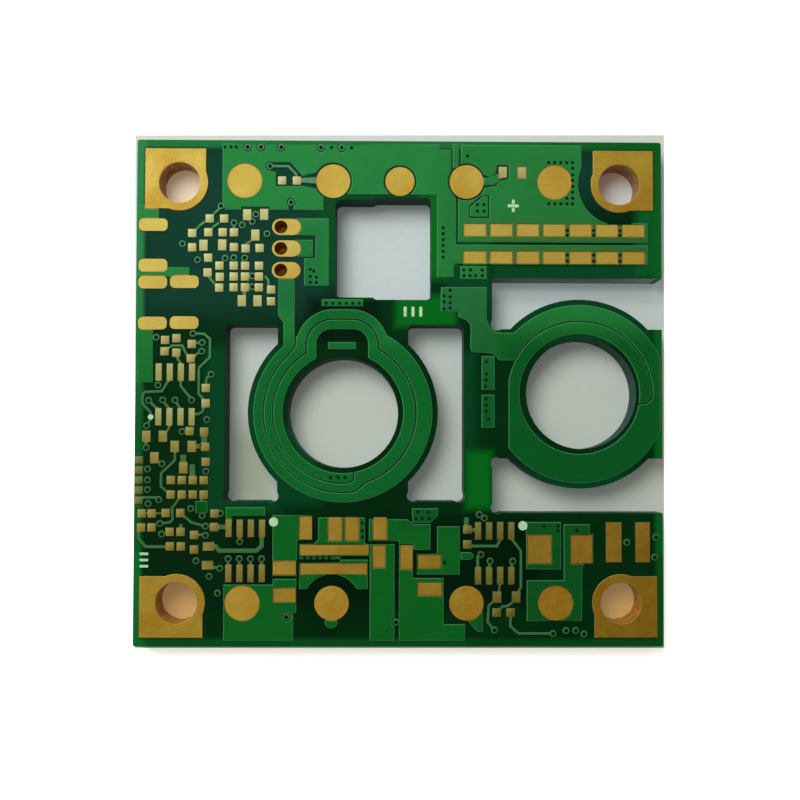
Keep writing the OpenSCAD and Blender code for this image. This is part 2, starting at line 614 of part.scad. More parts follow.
// Clearances cut out of the output copper round the lands that it doesn't join
module output_moats_2d(g = 0) {
    for (n = [2, 4]) disc(output_pins[n - 1], pin_land_r + moat_w - g, mid_fn);
    disc(output_pins[2], sense_land_r + moat_w - g, mid_fn);
    // Neck of the second pin and the cut-out round its chip
    outline([[-7.7, 23.2], [-7.7, 25.6], [-9.8, 25.4], [-11.2, 25], [-12.6, 26.6], [-15.3, 26.6],
        [-15.3, 25.55], [-14.4, 25.3], [-14.4, 23.65], [-11.2, 23.7], [-9.8, 23.4]], -g);
    // Vias in the field
    for (c = vias) if (c.y > 21.5) disc(c, via_clear_r - g, small_fn);
    field(-12.9, 20, -12.2, 21.9, -g);
}
module pin_necks_2d(g = 0) {
    outline([[-7.7, 24], [-7.7, 24.9], [-10.2, 24.75], [-11.8, 24.65], [-11.8, 24.2], [-10.2, 24.1]], g);
    outline([[pin_in, 23.9], [10.9, 24.1], [11.9, 24.85], [11.9, 25.4], [11.2, 25.2], [10.3, 24.75],
        [pin_in, 25]], g);
}
module output_2d(g = 0) {
    difference() {
        outline([[-20.4, 28.6], [-20.4, 22.1], [-20.05, 21.05], [-18.35, 21.05], [-18.35, 21.4],
            [-14.95, 21.4], [-14.95, 21.05], [-8.9, 21.05], [-8.9, 22.85], [4.35, 22.85], [4.35, 13.35],
            [6.15, 13.35], [6.15, rail_lower_y - 0.75], [rail_end_x, rail_lower_y - 0.75],
            [rail_end_x, rail_gap_y - rail_gap_w / 2], [6.4, rail_gap_y - rail_gap_w / 2], [6.4, 22.4],
            [5.85, 23.5], [5.85, 28], [4.5, 28], [4.5, 28.6]], g);
        output_moats_2d(g);
    }
}
module output_rail_2d(g = 0) {
    difference() {
        outline([[7.1, 28.6], [7.1, 24.3], [6.8, 22.6], [6.8, rail_gap_y + rail_gap_w / 2],
            [rail_end_x, rail_gap_y + rail_gap_w / 2], [rail_end_x, rail_upper_y + rail_land_d / 2 + 0.1],
            [mount_x - 1, rail_upper_y + rail_land_d / 2 + 0.1], [mount_x - 1, mount_y],
            [mount_x - 4.45, mount_y + 1.5], [mount_x - 4.45, 28.6]], g);
        disc([mount_x, mount_y], mount_clear_r - g, big_fn);
        disc(output_pins[3], pin_land_r + moat_w - g, mid_fn);
        outline([[pin_in, 23.2], [9.8, 23.6], [11.1, 23.8], [11.6, 24.5], [12.65, 24.6], [12.65, 26.4],
            [11.15, 26.4], [11, 25.4], [10.4, 25], [9.9, 25.2], [pin_in, 25.8]], -g);
        // Moat round the stitched island beside the fourth pin
        outline([[7.9, 20.05], [10.4, 20.05], [10.4, 22.85], [9.4, 22.85], [7.9, 21.5]], -g);
    }
}
module input_left_2d(g = 0) {
    difference() {
        union() {
            field(-19.95, bottom + 0.8, -12.15, -22.1, g);
            field(-14.35, -25.2, -11.8, -21.45, g);
        }
        disc([-12.85, -25.7], via_clear_r - g, small_fn);
    }
}
module input_middle_2d(g = 0) {
    difference() {
        field(-3.3, bottom + 0.8, -0.6, -17.5, g);
        disc([-0.35, -26.3], via_clear_r - g, small_fn);
    }
}
module input_right_2d(g = 0) {
    outline([[0.05, bottom + 0.8], [7.45, bottom + 0.8], [7.45, -26.6], [5, -26.6], [5, -21.35],
        [1.5, -21.35], [1.5, -17.55], [0.05, -17.55]], g);
    // Drip at the third input land
    outline([[pin_in, -25.9], [9, -27.3], [9.5, -27.3], [9.5, -24.2]], g);
}
module switch_left_2d(g = 0) {
    outline([[-14.4, -21], [-11.75, -21], [-11.75, -16.95], [-9.95, -16.95], [-9.95, -14.2], [-14.4, -14.2]], g);
}
module switch_middle_2d(g = 0) {
    outline([[-11.35, -18.7], [-11.3, -19.05], [-6.8, -19.05], [-6.8, -18.7], [-3.5, -18.7], [-3.5, -17.45],
        [-4, -17.45], [-4, -14.45], [-9.2, -14.45], [-9.2, -16.9], [-9.7, -17.45], [-11.35, -17.45]], g);
    difference() {
        outline([[-11.35, -22.45], [-3.65, -22.45], [-3.65, -19.25], [-6.65, -19.25], [-6.65, -19.6],
            [-11.35, -19.6]], g);
        disc(input_pins[1], input_clear_r - g, mid_fn);
    }
}
module switch_right_2d(g = 0) {
    outline([[-3.4, -17], [0.05, -17], [0.05, -17.3], [1.7, -17.3], [1.7, -18], [3.5, -18], [3.5, -15.2],
        [1.6, -15.2], [0.9, -14.65], [-3.4, -14.65]], g);
    outline([[2.1, -20.8], [6.85, -20.8], [6.85, -15.45], [4.4, -15.45], [4.4, -18.6], [2.1, -18.6]], g);
}
module diode_left_2d(g = 0) {
    field(14.6, -20.2, 18.45, -14.95, g);
}
module diode_right_2d(g = 0) {
    outline([[14.65, -26.1], [20.85, -26.1], [20.9, -20.1], [21.2, -19.6], [22.2, -19.55], [22.2, -16.3],
        [21.75, -16.3], [21.75, -15.2], [18.9, -15.2], [18.9, -21.6], [14.65, -21.6]], g);
}
module terminal_copper_2d(g = 0) {
    outline([[-12, 18.1], [-9.65, 18.1], [-9.65, 15.3], [-10.95, 15.3], [-10.95, 12.3], [-8.25, 12.3],
        [-8.25, 19.95], [-12, 19.95]], g);
    field(-12, 15.65, -10.1, 17.45, g);
}
module stitching_2d(g = 0) {
    // Rows of vias above and inside the arch
    field(-8.9, 9.95, -4.3, 10.6, g);
    field(-8.15, 5, -5.1, 5.65, g);
    // Rows beside the inductor ring
    field(9.5, 0.35, 10.85, 4.1, g);
    field(9.5, -4, 10.85, -0.35, g);
    // Islands
    outline([[8.15, 20.4], [10.1, 20.4], [10.1, 22.55], [9.6, 22.6], [8.15, 21.35]], g);
    field(7.05, 13.15, 9.95, 14.5, g);
    outline([[1.6, -14.9], [3.5, -14.9], [4.3, -14.2], [4.4, -13.4], [1.5, -13.4]], g);
    outline([[-19.75, -14.8], [-19.1, -14.8], [-19.1, -14.1], [-15.4, -14.1], [-15.4, -13.3], [-19.75, -13.3]], g);
    outline([[7.1, -19.1], [8.2, -19.1], [8.5, -18.75], [8.2, -18.4], [7.1, -18.4]], g);
    field(left + 7.1, -13.8, left + 8.3, -12.6, g);
    // Drip at the second input land
    oblong([-7.75, -26.3], 1.3, 1.2, g);
}
module edge_copper_2d(g = 0) {
    field(left + edge_keep, 1.1, left + 1.95, 8, g);
    field(left + edge_keep, 13.2, left + 6.05, 14.2, g);
    field(left + edge_keep, 19.2, left + 2.5, 21.4, g);
}
module traces_2d(g = 0) {
    difference() {
        union() {
            for (t = concat(traces_left, traces_right)) polygon(stroke(t[1], t[0] * trace_w, g));
            polygon(stroke(trace_top, trace_w, g));
            for (c = vias) disc(c, via_r + g, small_fn);
            disc(small_mark, small_mark_d / 2 + 0.05 + g, small_fn);
        }
        for (c = vias) disc(c, via_hole_r - g, small_fn);
    }
    pin_necks_2d(g);
}
module all_copper_2d(g = 0) {
    transformer_2d(g);
    inductor_2d(g);
    output_2d(g);
    output_rail_2d(g);
    input_left_2d(g);
    input_middle_2d(g);
    input_right_2d(g);
    switch_left_2d(g);
    switch_middle_2d(g);
    switch_right_2d(g);
    diode_left_2d(g);
    diode_right_2d(g);
    terminal_copper_2d(g);
    stitching_2d(g);
    edge_copper_2d(g);
    traces_2d(g);
}

// Solids
module laminate() {
    color(resin_tone) translate([0, 0, z_low]) linear_extrude(laminate_t) difference() {
        board_2d();
        holes_2d(plating_t);
    }
}
module solder_mask_top() {
    color(mask_tone) translate([0, 0, z_top]) difference() {
        union() {
            linear_extrude(mask_t) board_2d();
            linear_extrude(film_h) all_copper_2d(mask_t);
        }
        translate([0, 0, -cut]) linear_extrude(copper_t + cut) all_copper_2d();
        translate([0, 0, -cut]) linear_extrude(film_h + 2 * cut) all_lands_2d(mask_gap);
    }
}
module solder_mask_bottom() {
    color(mask_tone) translate([0, 0, z_low - mask_t]) linear_extrude(mask_t) difference() {
        board_2d();
        for (s = corners) mounting_2d(s, mask_gap);
        for (n = [-1:1]) disc([terminal_x, terminal_y + n * terminal_pitch], terminal_land_w / 2 + mask_gap, 24);
    }
}
// A top-side land or copper field, without what other pieces fill
module raised(tone) {
    color(tone) translate([0, 0, z_top]) linear_extrude(copper_t) children();
}
module copper_field() {
    raised(copper_tone) difference() {
        children();
        all_lands_2d();
    }
}
// A mounting land: both faces and the plated wall between them, in one
module mounting_land(s) {
    c = [s.x * mount_x, s.y * mount_y];
    color(gold) difference() {
        union() {
            linear_extrude(copper_t) mounting_2d(s);
            translate([0, 0, z_top]) linear_extrude(copper_t) mounting_2d(s);
            translate([c.x, c.y, 0]) cylinder(z_top + copper_t, r = mount_hole_r + plating_t, $fn = mid_fn);
        }
        translate([c.x, c.y, -cut]) cylinder(z_top + copper_t + 2 * cut, r = mount_hole_r, $fn = mid_fn);
    }
}
module terminal_land(n) {
    c = [terminal_x, terminal_y + n * terminal_pitch];
    color(gold) difference() {
        union() {
            linear_extrude(copper_t) disc(c, terminal_land_w / 2, 24);
            translate([0, 0, z_top]) linear_extrude(copper_t) terminal_2d(n);
            translate([c.x, c.y, 0]) cylinder(z_top, r = terminal_hole_r + plating_t, $fn = 24);
        }
        translate([c.x, c.y, -cut]) cylinder(z_top + copper_t + 2 * cut, r = terminal_hole_r, $fn = 24);
    }
}
module printed_marks() {
    color(ink_tone) {
        for (m = mark_list) translate([m.x, m.y, z_top + film_h]) cylinder(mark_t, d = mark_d, $fn = 24);
        translate([small_mark.x, small_mark.y, z_top + film_h]) cylinder(mark_t, d = small_mark_d, $fn = 24);
    }
}

laminate();
solder_mask_top();
solder_mask_bottom();
mounting_land(corners[0]);  // mounting_land_nw
mounting_land(corners[1]);  // mounting_land_ne
mounting_land(corners[2]);  // mounting_land_sw
mounting_land(corners[3]);  // mounting_land_se
terminal_land(1);  // terminal_land_upper
terminal_land(0);  // terminal_land_middle
terminal_land(-1);  // terminal_land_lower
copper_field() transformer_2d();  // transformer_winding
copper_field() inductor_2d();  // inductor_winding
copper_field() output_2d();  // output_copper
copper_field() output_rail_2d();  // output_rail_copper
copper_field() input_left_2d();  // input_copper_left
copper_field() input_middle_2d();  // input_copper_middle
copper_field() input_right_2d();  // input_copper_right
copper_field() switch_left_2d();  // switch_copper_left
copper_field() switch_middle_2d();  // switch_copper_middle
copper_field() switch_right_2d();  // switch_copper_right
copper_field() diode_left_2d();  // diode_copper_left
copper_field() diode_right_2d();  // diode_copper_right
copper_field() terminal_copper_2d();  // terminal_copper
copper_field() stitching_2d();  // stitching_copper
copper_field() traces_2d();  // signal_traces
copper_field() edge_copper_2d();  // edge_copper
raised(gold) output_pin_2d(1);  // output_pin_land_1
raised(gold) output_pin_2d(2);  // output_pin_land_2
raised(gold) output_pin_2d(3);  // output_pin_land_3
raised(gold) output_pin_2d(4);  // output_pin_land_4
raised(gold) output_pin_2d(5);  // output_pin_land_5
raised(gold) input_pin_2d(1);  // input_pin_land_1
raised(gold) input_pin_2d(2);  // input_pin_land_2
raised(gold) input_pin_2d(3);  // input_pin_land_3
raised(gold) input_pin_2d(4);  // input_pin_land_4
raised(gold) rail_2d(rail_upper_y);  // rail_lands_upper
raised(gold) rail_2d(rail_lower_y);  // rail_lands_lower
raised(gold) edge_2d();  // edge_lands
raised(gold) side_2d();  // side_lands
raised(gold) so_2d(so_left);  // so_lands_left
raised(gold) so_2d(so_lower_left);  // so_lands_lower_left
raised(gold) so_2d(so_lower_right);  // so_lands_lower_right
raised(gold) chips_top_2d();  // chip_lands_top
raised(gold) chips_upper_left_2d();  // chip_lands_upper_left
raised(gold) chips_left_2d();  // chip_lands_left
raised(gold) chips_lower_left_2d();  // chip_lands_lower_left
raised(gold) chips_lower_right_2d();  // chip_lands_lower_right
raised(gold) sized_2d(switch_list);  // switch_lands
raised(gold) sized_2d(bar_list);  // bar_lands
raised(gold) sized_2d(capacitor_list);  // capacitor_lands
raised(gold) sized_2d(diode_list);  // diode_lands
printed_marks();
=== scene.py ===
import math

import bmesh
import bpy
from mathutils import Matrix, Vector
from mathutils.bvhtree import BVHTree


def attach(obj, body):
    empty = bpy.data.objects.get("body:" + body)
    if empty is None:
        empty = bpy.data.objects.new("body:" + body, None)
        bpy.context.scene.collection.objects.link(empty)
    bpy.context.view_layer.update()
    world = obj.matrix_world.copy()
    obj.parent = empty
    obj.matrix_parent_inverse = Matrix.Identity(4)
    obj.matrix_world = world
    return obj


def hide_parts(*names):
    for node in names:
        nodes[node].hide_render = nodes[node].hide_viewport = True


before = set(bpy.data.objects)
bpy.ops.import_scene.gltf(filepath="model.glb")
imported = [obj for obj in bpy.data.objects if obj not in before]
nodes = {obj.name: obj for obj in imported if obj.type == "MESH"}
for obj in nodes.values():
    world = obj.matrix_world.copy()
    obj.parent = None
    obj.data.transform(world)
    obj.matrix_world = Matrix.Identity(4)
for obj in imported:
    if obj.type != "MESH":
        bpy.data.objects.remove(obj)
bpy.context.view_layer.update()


# Sizes, in millimetres unless they say otherwise; MM makes them metres

MM = 0.001
DOWN = Vector((0, 0, -1))

# Height of the mask film over bare laminate and over copper
FILM_LOW = 3.17
FILM_HIGH = 3.29

# Upright walls of the film: the lean of their tops and of their feet, the height from which
# they lean in full, and the share of it that lower walls take
TOP_LEAN = 0.075
FOOT_LEAN = 0.05
FULL_WALL = 0.06
LOW_WALL_SHARE = 0.35
# A wall's normal rises no more than this, and two normals closer than this point one way
UPRIGHT = 0.05
ONE_WAY = 0.94
# Keeps a pointed corner from running out too far
POINTED = 0.3

# Points at one place, and corners at one height
SAME_PLACE = 0.0005
SAME_HEIGHT = 0.002

# The upper edge of the window above the transformer moves up, the inductor's hole to the right
WINDOW_EDGE = (-7.8, 21.0, 3.9, 22.5)
WINDOW_SHIFT = 0.25
HOLE_CENTRE = Vector((20.7, -0.15))
HOLE_RADIUS = 6.35
HOLE_REACH = 0.12
HOLE_SHIFT = 0.22

# Shading is smooth below the first angle, and edges above the second are rolled
ROUND_WALL = math.radians(18)
SHARP_EDGE = math.radians(50)
LAND_ROLL = 0.05

# Where rays start to look for the film and for traces, and how far down they look
ABOVE_BOARD = 4.0
FILM_REACH = 1.0
ABOVE_FILM = 3.3
TRACE_REACH = 0.3

# A via: a disc with its middle sunk, resting on the film, dark with painted shade
DISH_SIDES = 12
DISH_THICK = 0.02
DISH_RIM_SHARE = 0.3
DISH_SINK = 0.009
DISH_LIFT = 0.004
VIA_RADIUS = 0.19
RING_VIA_RADIUS = 0.24

# Printed strokes
INK_THICK = 0.02
INK_LIFT = 0.008
INK_CORNER = 0.1


# Selecting and shaping

def let_go():
    """Leaves edit mode and deselects everything."""
    if bpy.context.object and bpy.context.object.mode != "OBJECT":
        bpy.ops.object.mode_set(mode="OBJECT")
    bpy.ops.object.select_all(action="DESELECT")


def take(piece):
    """Makes this piece the only one selected."""
    let_go()
    piece.select_set(True)
    bpy.context.view_layer.objects.active = piece


def merged_copy(node_name, piece_name):
    """A copy of a CAD node with its loose triangles joined at their corners."""
    piece = nodes[node_name].copy()
    piece.data = nodes[node_name].data.copy()
    piece.name = piece_name
    piece.parent = None
    for key in list(piece.keys()):
        del piece[key]
    bpy.context.scene.collection.objects.link(piece)
    take(piece)
    bpy.ops.object.mode_set(mode="EDIT")
    bpy.ops.mesh.select_all(action="SELECT")
    bpy.ops.mesh.remove_doubles(threshold=SAME_PLACE * MM)
    bpy.ops.mesh.customdata_custom_splitnormals_clear()
    bpy.ops.mesh.select_all(action="DESELECT")
    bpy.ops.object.mode_set(mode="OBJECT")
    return piece


def joined(pieces, name):
    """Makes one piece of several."""
    take(pieces[0])
    for piece in pieces:
        piece.select_set(True)
    bpy.ops.object.join()
    whole = bpy.context.object
    whole.name = name
    whole.data.name = name
    return whole


def lean_of(v):
    """How far a corner of the film moves: wall tops go inwards, feet on the film outwards."""
    foot, slack = FILM_LOW * MM, SAME_HEIGHT * MM
    ways = []
    for face in v.link_faces:
        if abs(face.normal.z) > UPRIGHT:
            continue
        levels = [w.co.z for w in face.verts]
        if v.co.z > max(levels) - slack:
            way, width = -face.normal, TOP_LEAN
        elif abs(v.co.z - foot) < slack and max(levels) > foot + 10 * slack:
            way, width = face.normal.copy(), FOOT_LEAN
        else:
            continue
        tall = max(levels) - min(levels) > FULL_WALL * MM
        if all(way.dot(other) < ONE_WAY for other, _ in ways):
            ways.append((way, width if tall else width * LOW_WALL_SHARE))
    if not ways:
        return None
    mean = sum((way for way, _ in ways), Vector()) / len(ways)
    move = sum((way * width for way, width in ways), Vector()) / len(ways)
    return move * MM / max(mean.length_squared, POINTED)


def lean_walls(piece):
    """Leans the upright walls of the film, as the cured mask lies, within the board's sides."""
    work = bmesh.new()
    work.from_mesh(piece.data)
    side_x = max(v.co.x for v in work.verts)
    side_y = max(v.co.y for v in work.verts)
    for v, move in [(v, lean_of(v)) for v in work.verts]:
        if move is None:
            continue
        v.co += move
        v.co.x = min(max(v.co.x, -side_x), side_x)
        v.co.y = min(max(v.co.y, -side_y), side_y)
    work.to_mesh(piece.data)
    work.free()
    piece.data.update()


def true_edges(piece):
    """Moves one window edge and the inductor's hole by a quarter millimetre."""
    x0, y0, x1, y1 = WINDOW_EDGE
    for v in piece.data.vertices:
        x, y = v.co.x / MM, v.co.y / MM
        if x0 < x < x1 and y0 < y < y1:
            v.co.y += WINDOW_SHIFT * MM
        if abs((Vector((x, y)) - HOLE_CENTRE).length - HOLE_RADIUS) < HOLE_REACH:
            v.co.x += HOLE_SHIFT * MM
    piece.data.update()


def soft_curves(piece):
    """Smooth shading on the round walls only."""
    take(piece)
    bpy.ops.object.shade_smooth_by_angle(angle=ROUND_WALL)
    let_go()


def roll_edges(piece, width, rounds):
    """Rolls the sharp edges of a plated piece."""
    take(piece)
    roll = piece.modifiers.new("rolled_edge", "BEVEL")
    roll.width = width * MM
    roll.segments = rounds
    roll.limit_method = "ANGLE"
    roll.angle_limit = SHARP_EDGE
    roll.use_clamp_overlap = True
    bpy.ops.object.modifier_apply(modifier=roll.name)
    let_go()


def select_where(piece, kind, test):
    """In edit mode, selects the faces or edges that pass a test, and nothing else."""
    bpy.ops.mesh.select_all(action="DESELECT")
    work = bmesh.from_edit_mesh(piece.data)
    for element in getattr(work, kind):
        if test(element):
            element.select_set(True)
    bmesh.update_edit_mesh(piece.data)


def face_tree(mesh):
    """A mesh's faces, ready for looking up what lies under a place."""
    return BVHTree.FromPolygons([v.co.copy() for v in mesh.vertices],
                                [tuple(p.vertices) for p in mesh.polygons])


def settle(piece, slot, *replaced):
    """The piece rides on the board and stands for the nodes it replaces; the slot is not used."""
    take(piece)
    bpy.ops.object.transform_apply(location=True, rotation=True, scale=True)
    let_go()
    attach(piece, "root")
    if replaced:
        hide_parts(*replaced)


def coat(piece, material):
    """Gives the piece this material and no other."""
    piece.data.materials.clear()
    piece.data.materials.append(material)


# Shader building

FLOAT, VECTOR = "NodeSocketFloat", "NodeSocketVector"
ORIGIN = (0, 0, 0)


def put(tree, kind, values=None, **settings):
    """Adds a node, with its settings and its inputs: a socket is linked, all else is set."""
    made = tree.nodes.new(kind)
    for key, value in settings.items():
        setattr(made, key, value)
    for key, value in (values or {}).items():
        if isinstance(value, bpy.types.NodeSocket):
            tree.links.new(value, made.inputs[key])
        else:
            made.inputs[key].default_value = value
    return made


def effect(name, inputs, outputs):
    """A shader node group with named sockets: its tree, its input node and its output node."""
    tree = bpy.data.node_groups.new(name, "ShaderNodeTree")
    for key, (kind, value) in inputs.items():
        socket = tree.interface.new_socket(key, in_out="INPUT", socket_type=kind)
        socket.default_value = value
    for key, kind in outputs.items():
        tree.interface.new_socket(key, in_out="OUTPUT", socket_type=kind)
    return tree, tree.nodes.new("NodeGroupInput"), tree.nodes.new("NodeGroupOutput")


def maths(tree, operation, a, b=0.0):
    """One sum, product or other step with two values."""
    return put(tree, "ShaderNodeMath", {0: a, 1: b}, operation=operation).outputs[0]


def vector_maths(tree, operation, a, b=ORIGIN, result=0):
    """One step with two vectors."""
    return put(tree, "ShaderNodeVectorMath", {0: a, 1: b}, operation=operation).outputs[result]


def blend_colour(tree, amount, a, b, kind="MIX"):
    """Goes from colour a to colour b, or from a to a times b, by the amount."""
    ends = {0: amount, 6: a, 7: b}
    return put(tree, "ShaderNodeMix", ends, data_type="RGBA", blend_type=kind).outputs[2]


def stretch(tree, value, low, high, to_low=0.0, to_high=1.0, smooth=False):
    """Maps a value from one range to another, evenly or with soft ends."""
    ends = {"Value": value, "From Min": low, "From Max": high, "To Min": to_low, "To Max": to_high}
    kind = "SMOOTHSTEP" if smooth else "LINEAR"
    return put(tree, "ShaderNodeMapRange", ends, interpolation_type=kind).outputs[0]


def place_effect():
    """The place on the board in millimetres, whole and by its three parts."""
    tree, _, out = effect("place_in_mm", {},
                          {"Place": VECTOR, "Across": FLOAT, "Up": FLOAT, "Height": FLOAT})
    coords = put(tree, "ShaderNodeTexCoord").outputs["Object"]
    scaled = put(tree, "ShaderNodeVectorMath", {0: coords, "Scale": 1 / MM},
                 operation="SCALE").outputs[0]
    split = put(tree, "ShaderNodeSeparateXYZ", {0: scaled})
    tree.links.new(scaled, out.inputs["Place"])
    for key, axis in (("Across", "X"), ("Up", "Y"), ("Height", "Z")):
        tree.links.new(split.outputs[axis], out.inputs[key])
    return tree


def zone_effect():
    """A soft-edged rectangle of the board."""
    tree, inp, out = effect("zone", {"Place": (VECTOR, ORIGIN), "Centre": (VECTOR, ORIGIN),
                                     "Half": (VECTOR, (1, 1, 0)), "Soft": (FLOAT, 0.3)},
                            {"Mask": FLOAT})
    off = vector_maths(tree, "SUBTRACT", inp.outputs["Place"], inp.outputs["Centre"])
    off = vector_maths(tree, "ABSOLUTE", off)
    off = vector_maths(tree, "SUBTRACT", off, inp.outputs["Half"])
    parts = put(tree, "ShaderNodeSeparateXYZ", {0: off})
    far = maths(tree, "MAXIMUM", parts.outputs["X"], parts.outputs["Y"])
    soft_in = maths(tree, "MULTIPLY", inp.outputs["Soft"], -1.0)
    mask = stretch(tree, far, inp.outputs["Soft"], soft_in, smooth=True)
    tree.links.new(mask, out.inputs["Mask"])
    return tree


def tone_effect():
    """Uneven tone at three sizes: broad clouds, mottling and fine grain."""
    tree, inp, out = effect("uneven_tone", {"Place": (VECTOR, ORIGIN), "Clouds": (FLOAT, 0.1),
                                            "Mottling": (FLOAT, 0.8), "Grain": (FLOAT, 9.0)},
                            {"Clouds": FLOAT, "Mottling": FLOAT, "Grain": FLOAT})
    for key, detail in (("Clouds", 2.0), ("Mottling", 3.0), ("Grain", 4.0)):
        noise = put(tree, "ShaderNodeTexNoise",
                    {"Vector": inp.outputs["Place"], "Scale": inp.outputs[key],
                     "Detail": detail, "Roughness": 0.55})
        level = stretch(tree, noise.outputs["Fac"], 0.3, 0.7)
        tree.links.new(level, out.inputs[key])
    return tree


def wiping_effect():
    """Fine parallel lines of a wiped surface, broken up along their length."""
    tree, inp, out = effect("brushed_lines", {"Place": (VECTOR, ORIGIN), "Along": (FLOAT, 0.4),
                                              "Across": (FLOAT, 9.0)}, {"Lines": FLOAT})
    slim = put(tree, "ShaderNodeCombineXYZ",
               {"X": inp.outputs["Along"], "Y": inp.outputs["Across"], "Z": 1.0}).outputs[0]
    run = vector_maths(tree, "MULTIPLY", inp.outputs["Place"], slim)
    noise = put(tree, "ShaderNodeTexNoise",
                {"Vector": run, "Scale": 1.0, "Detail": 4.0, "Roughness": 0.6})
    tree.links.new(stretch(tree, noise.outputs["Fac"], 0.32, 0.68), out.inputs["Lines"])
    return tree


def pit_effect():
    """Small ragged pits: 1 inside a pit."""
    tree, inp, out = effect("pits", {"Place": (VECTOR, ORIGIN), "Density": (FLOAT, 3.0),
                                     "Size": (FLOAT, 0.3)}, {"Mask": FLOAT})
    place = inp.outputs["Place"]
    cells = put(tree, "ShaderNodeTexVoronoi", {"Vector": place, "Scale": inp.outputs["Density"]})
    ragged = put(tree, "ShaderNodeTexNoise", {"Vector": place, "Scale": 6.0, "Detail": 3.0})
    ragged = maths(tree, "MULTIPLY", ragged.outputs["Fac"], 0.35)
    edge = maths(tree, "ADD", cells.outputs["Distance"], ragged)
    limit = maths(tree, "ADD", inp.outputs["Size"], 0.12)
    pit = stretch(tree, edge, limit, inp.outputs["Size"], smooth=True)
    tree.links.new(pit, out.inputs["Mask"])
    return tree


PLACE = place_effect()
ZONE = zone_effect()
TONE = tone_effect()
WIPING = wiping_effect()
PITS = pit_effect()


def use(tree, group, **values):
    """Places an effect in a material, with its own values."""
    return put(tree, "ShaderNodeGroup", values, node_tree=group)


def finish_named(name):
    """A new material: itself, its tree, its Principled BSDF and the place on the board."""
    material = bpy.data.materials.new(name)
    material.use_nodes = True
    tree = material.node_tree
    return material, tree, tree.nodes["Principled BSDF"], use(tree, PLACE).outputs


def bumped(tree, shader, height, distance, strength=1.0):
    """Fine relief of the surface."""
    bump = put(tree, "ShaderNodeBump",
               {"Height": height, "Distance": distance * MM, "Strength": strength})
    tree.links.new(bump.outputs[0], shader.inputs["Normal"])


def zones(tree, place, boxes, soft):
    """The union of soft rectangles given as x0, y0, x1, y1."""
    total = None
    for x0, y0, x1, y1 in boxes:
        one = use(tree, ZONE, Place=place, Centre=((x0 + x1) / 2, (y0 + y1) / 2, 0),
                  Half=((x1 - x0) / 2, (y1 - y0) / 2, 0), Soft=soft).outputs[0]
        total = one if total is None else maths(tree, "MAXIMUM", total, one)
    return total


def shaded(tree, place, colour, shades):
    """Lays shades over a colour, each with its kind of blend, its zones and their softness."""
    for kind, boxes, soft, shade in shades:
        colour = blend_colour(tree, zones(tree, place, boxes, soft), colour, (*shade, 1), kind)
    return colour


# Mask film: how its tone changes with the layers under it, and painted sheen, shade and highlight
# in the zones so marked

FILM_OVER_LAMINATE = [
    # Lighter teal over the upper part, from the layers under it and from a painted sheen
    ("MIX", [(-29.5, 9.0, -8.0, 28.5), (4.2, 22.0, 29.5, 28.5), (-8.0, 22.8, 4.2, 28.5)],
     2.5, (0.003, 0.030, 0.019)),
    ("MIX", [(-28.2, -14.5, -22.3, 5.5)], 1.2, (0.0006, 0.0155, 0.0036)),
    ("MIX", [(-22.3, -14.0, -13.5, 5.0), (-15.5, -13.0, -9.0, -4.0), (10.0, 5.5, 29.5, 11.5),
             (14.0, -13.5, 31.0, -9.0), (5.0, -6.5, 8.8, 4.6)], 1.0, (0.0008, 0.036, 0.011)),
    ("MIX", [(-27.0, -24.5, 16.0, -14.5), (-10.6, 5.6, -2.4, 10.8)],
     1.2, (0.0003, 0.0080, 0.0028)),
    ("MIX", [(-27.0, -24.5, -19.5, -14.5)], 1.2, (0.0008, 0.0135, 0.0036)),
    ("MIX", [(10.6, 12.6, 31.0, 14.9), (5.5, 11.0, 10.6, 22.0)], 0.8, (0.0015, 0.042, 0.014)),
    ("MIX", [(-10.5, 21.6, 5.0, 23.6), (-9.6, 12.5, -7.0, 22.0)], 0.8, (0.0015, 0.046, 0.014)),
    ("MIX", [(-5.5, 10.9, -0.5, 13.2), (-0.5, 7.5, 6.5, 11.2), (7.6, -13.4, 10.6, -6.8),
             (2.5, 13.0, 5.3, 22.6)], 0.7, (0.0011, 0.094, 0.008)),
    ("MIX", [(27.3, 13.6, 31.0, 22.0)], 0.7, (0.002, 0.072, 0.013)),
]
FILM_AT_THE_RIM = [
    # Painted shade: the rim darkens towards the lower right
    ("MULTIPLY", [(8.0, -30.0, 31.0, -19.0)], 2.0, (1.0, 0.64, 0.6)),
    # Painted highlight along the left edge, where the film rolls over it
    ("MULTIPLY", [(-31.0, -30.0, -29.2, 30.0)], 0.3, (1.8, 1.30, 1.4)),
    ("MULTIPLY", [(-31.0, -30.0, -28.5, -18.5)], 0.8, (1.5, 1.45, 1.3)),
]
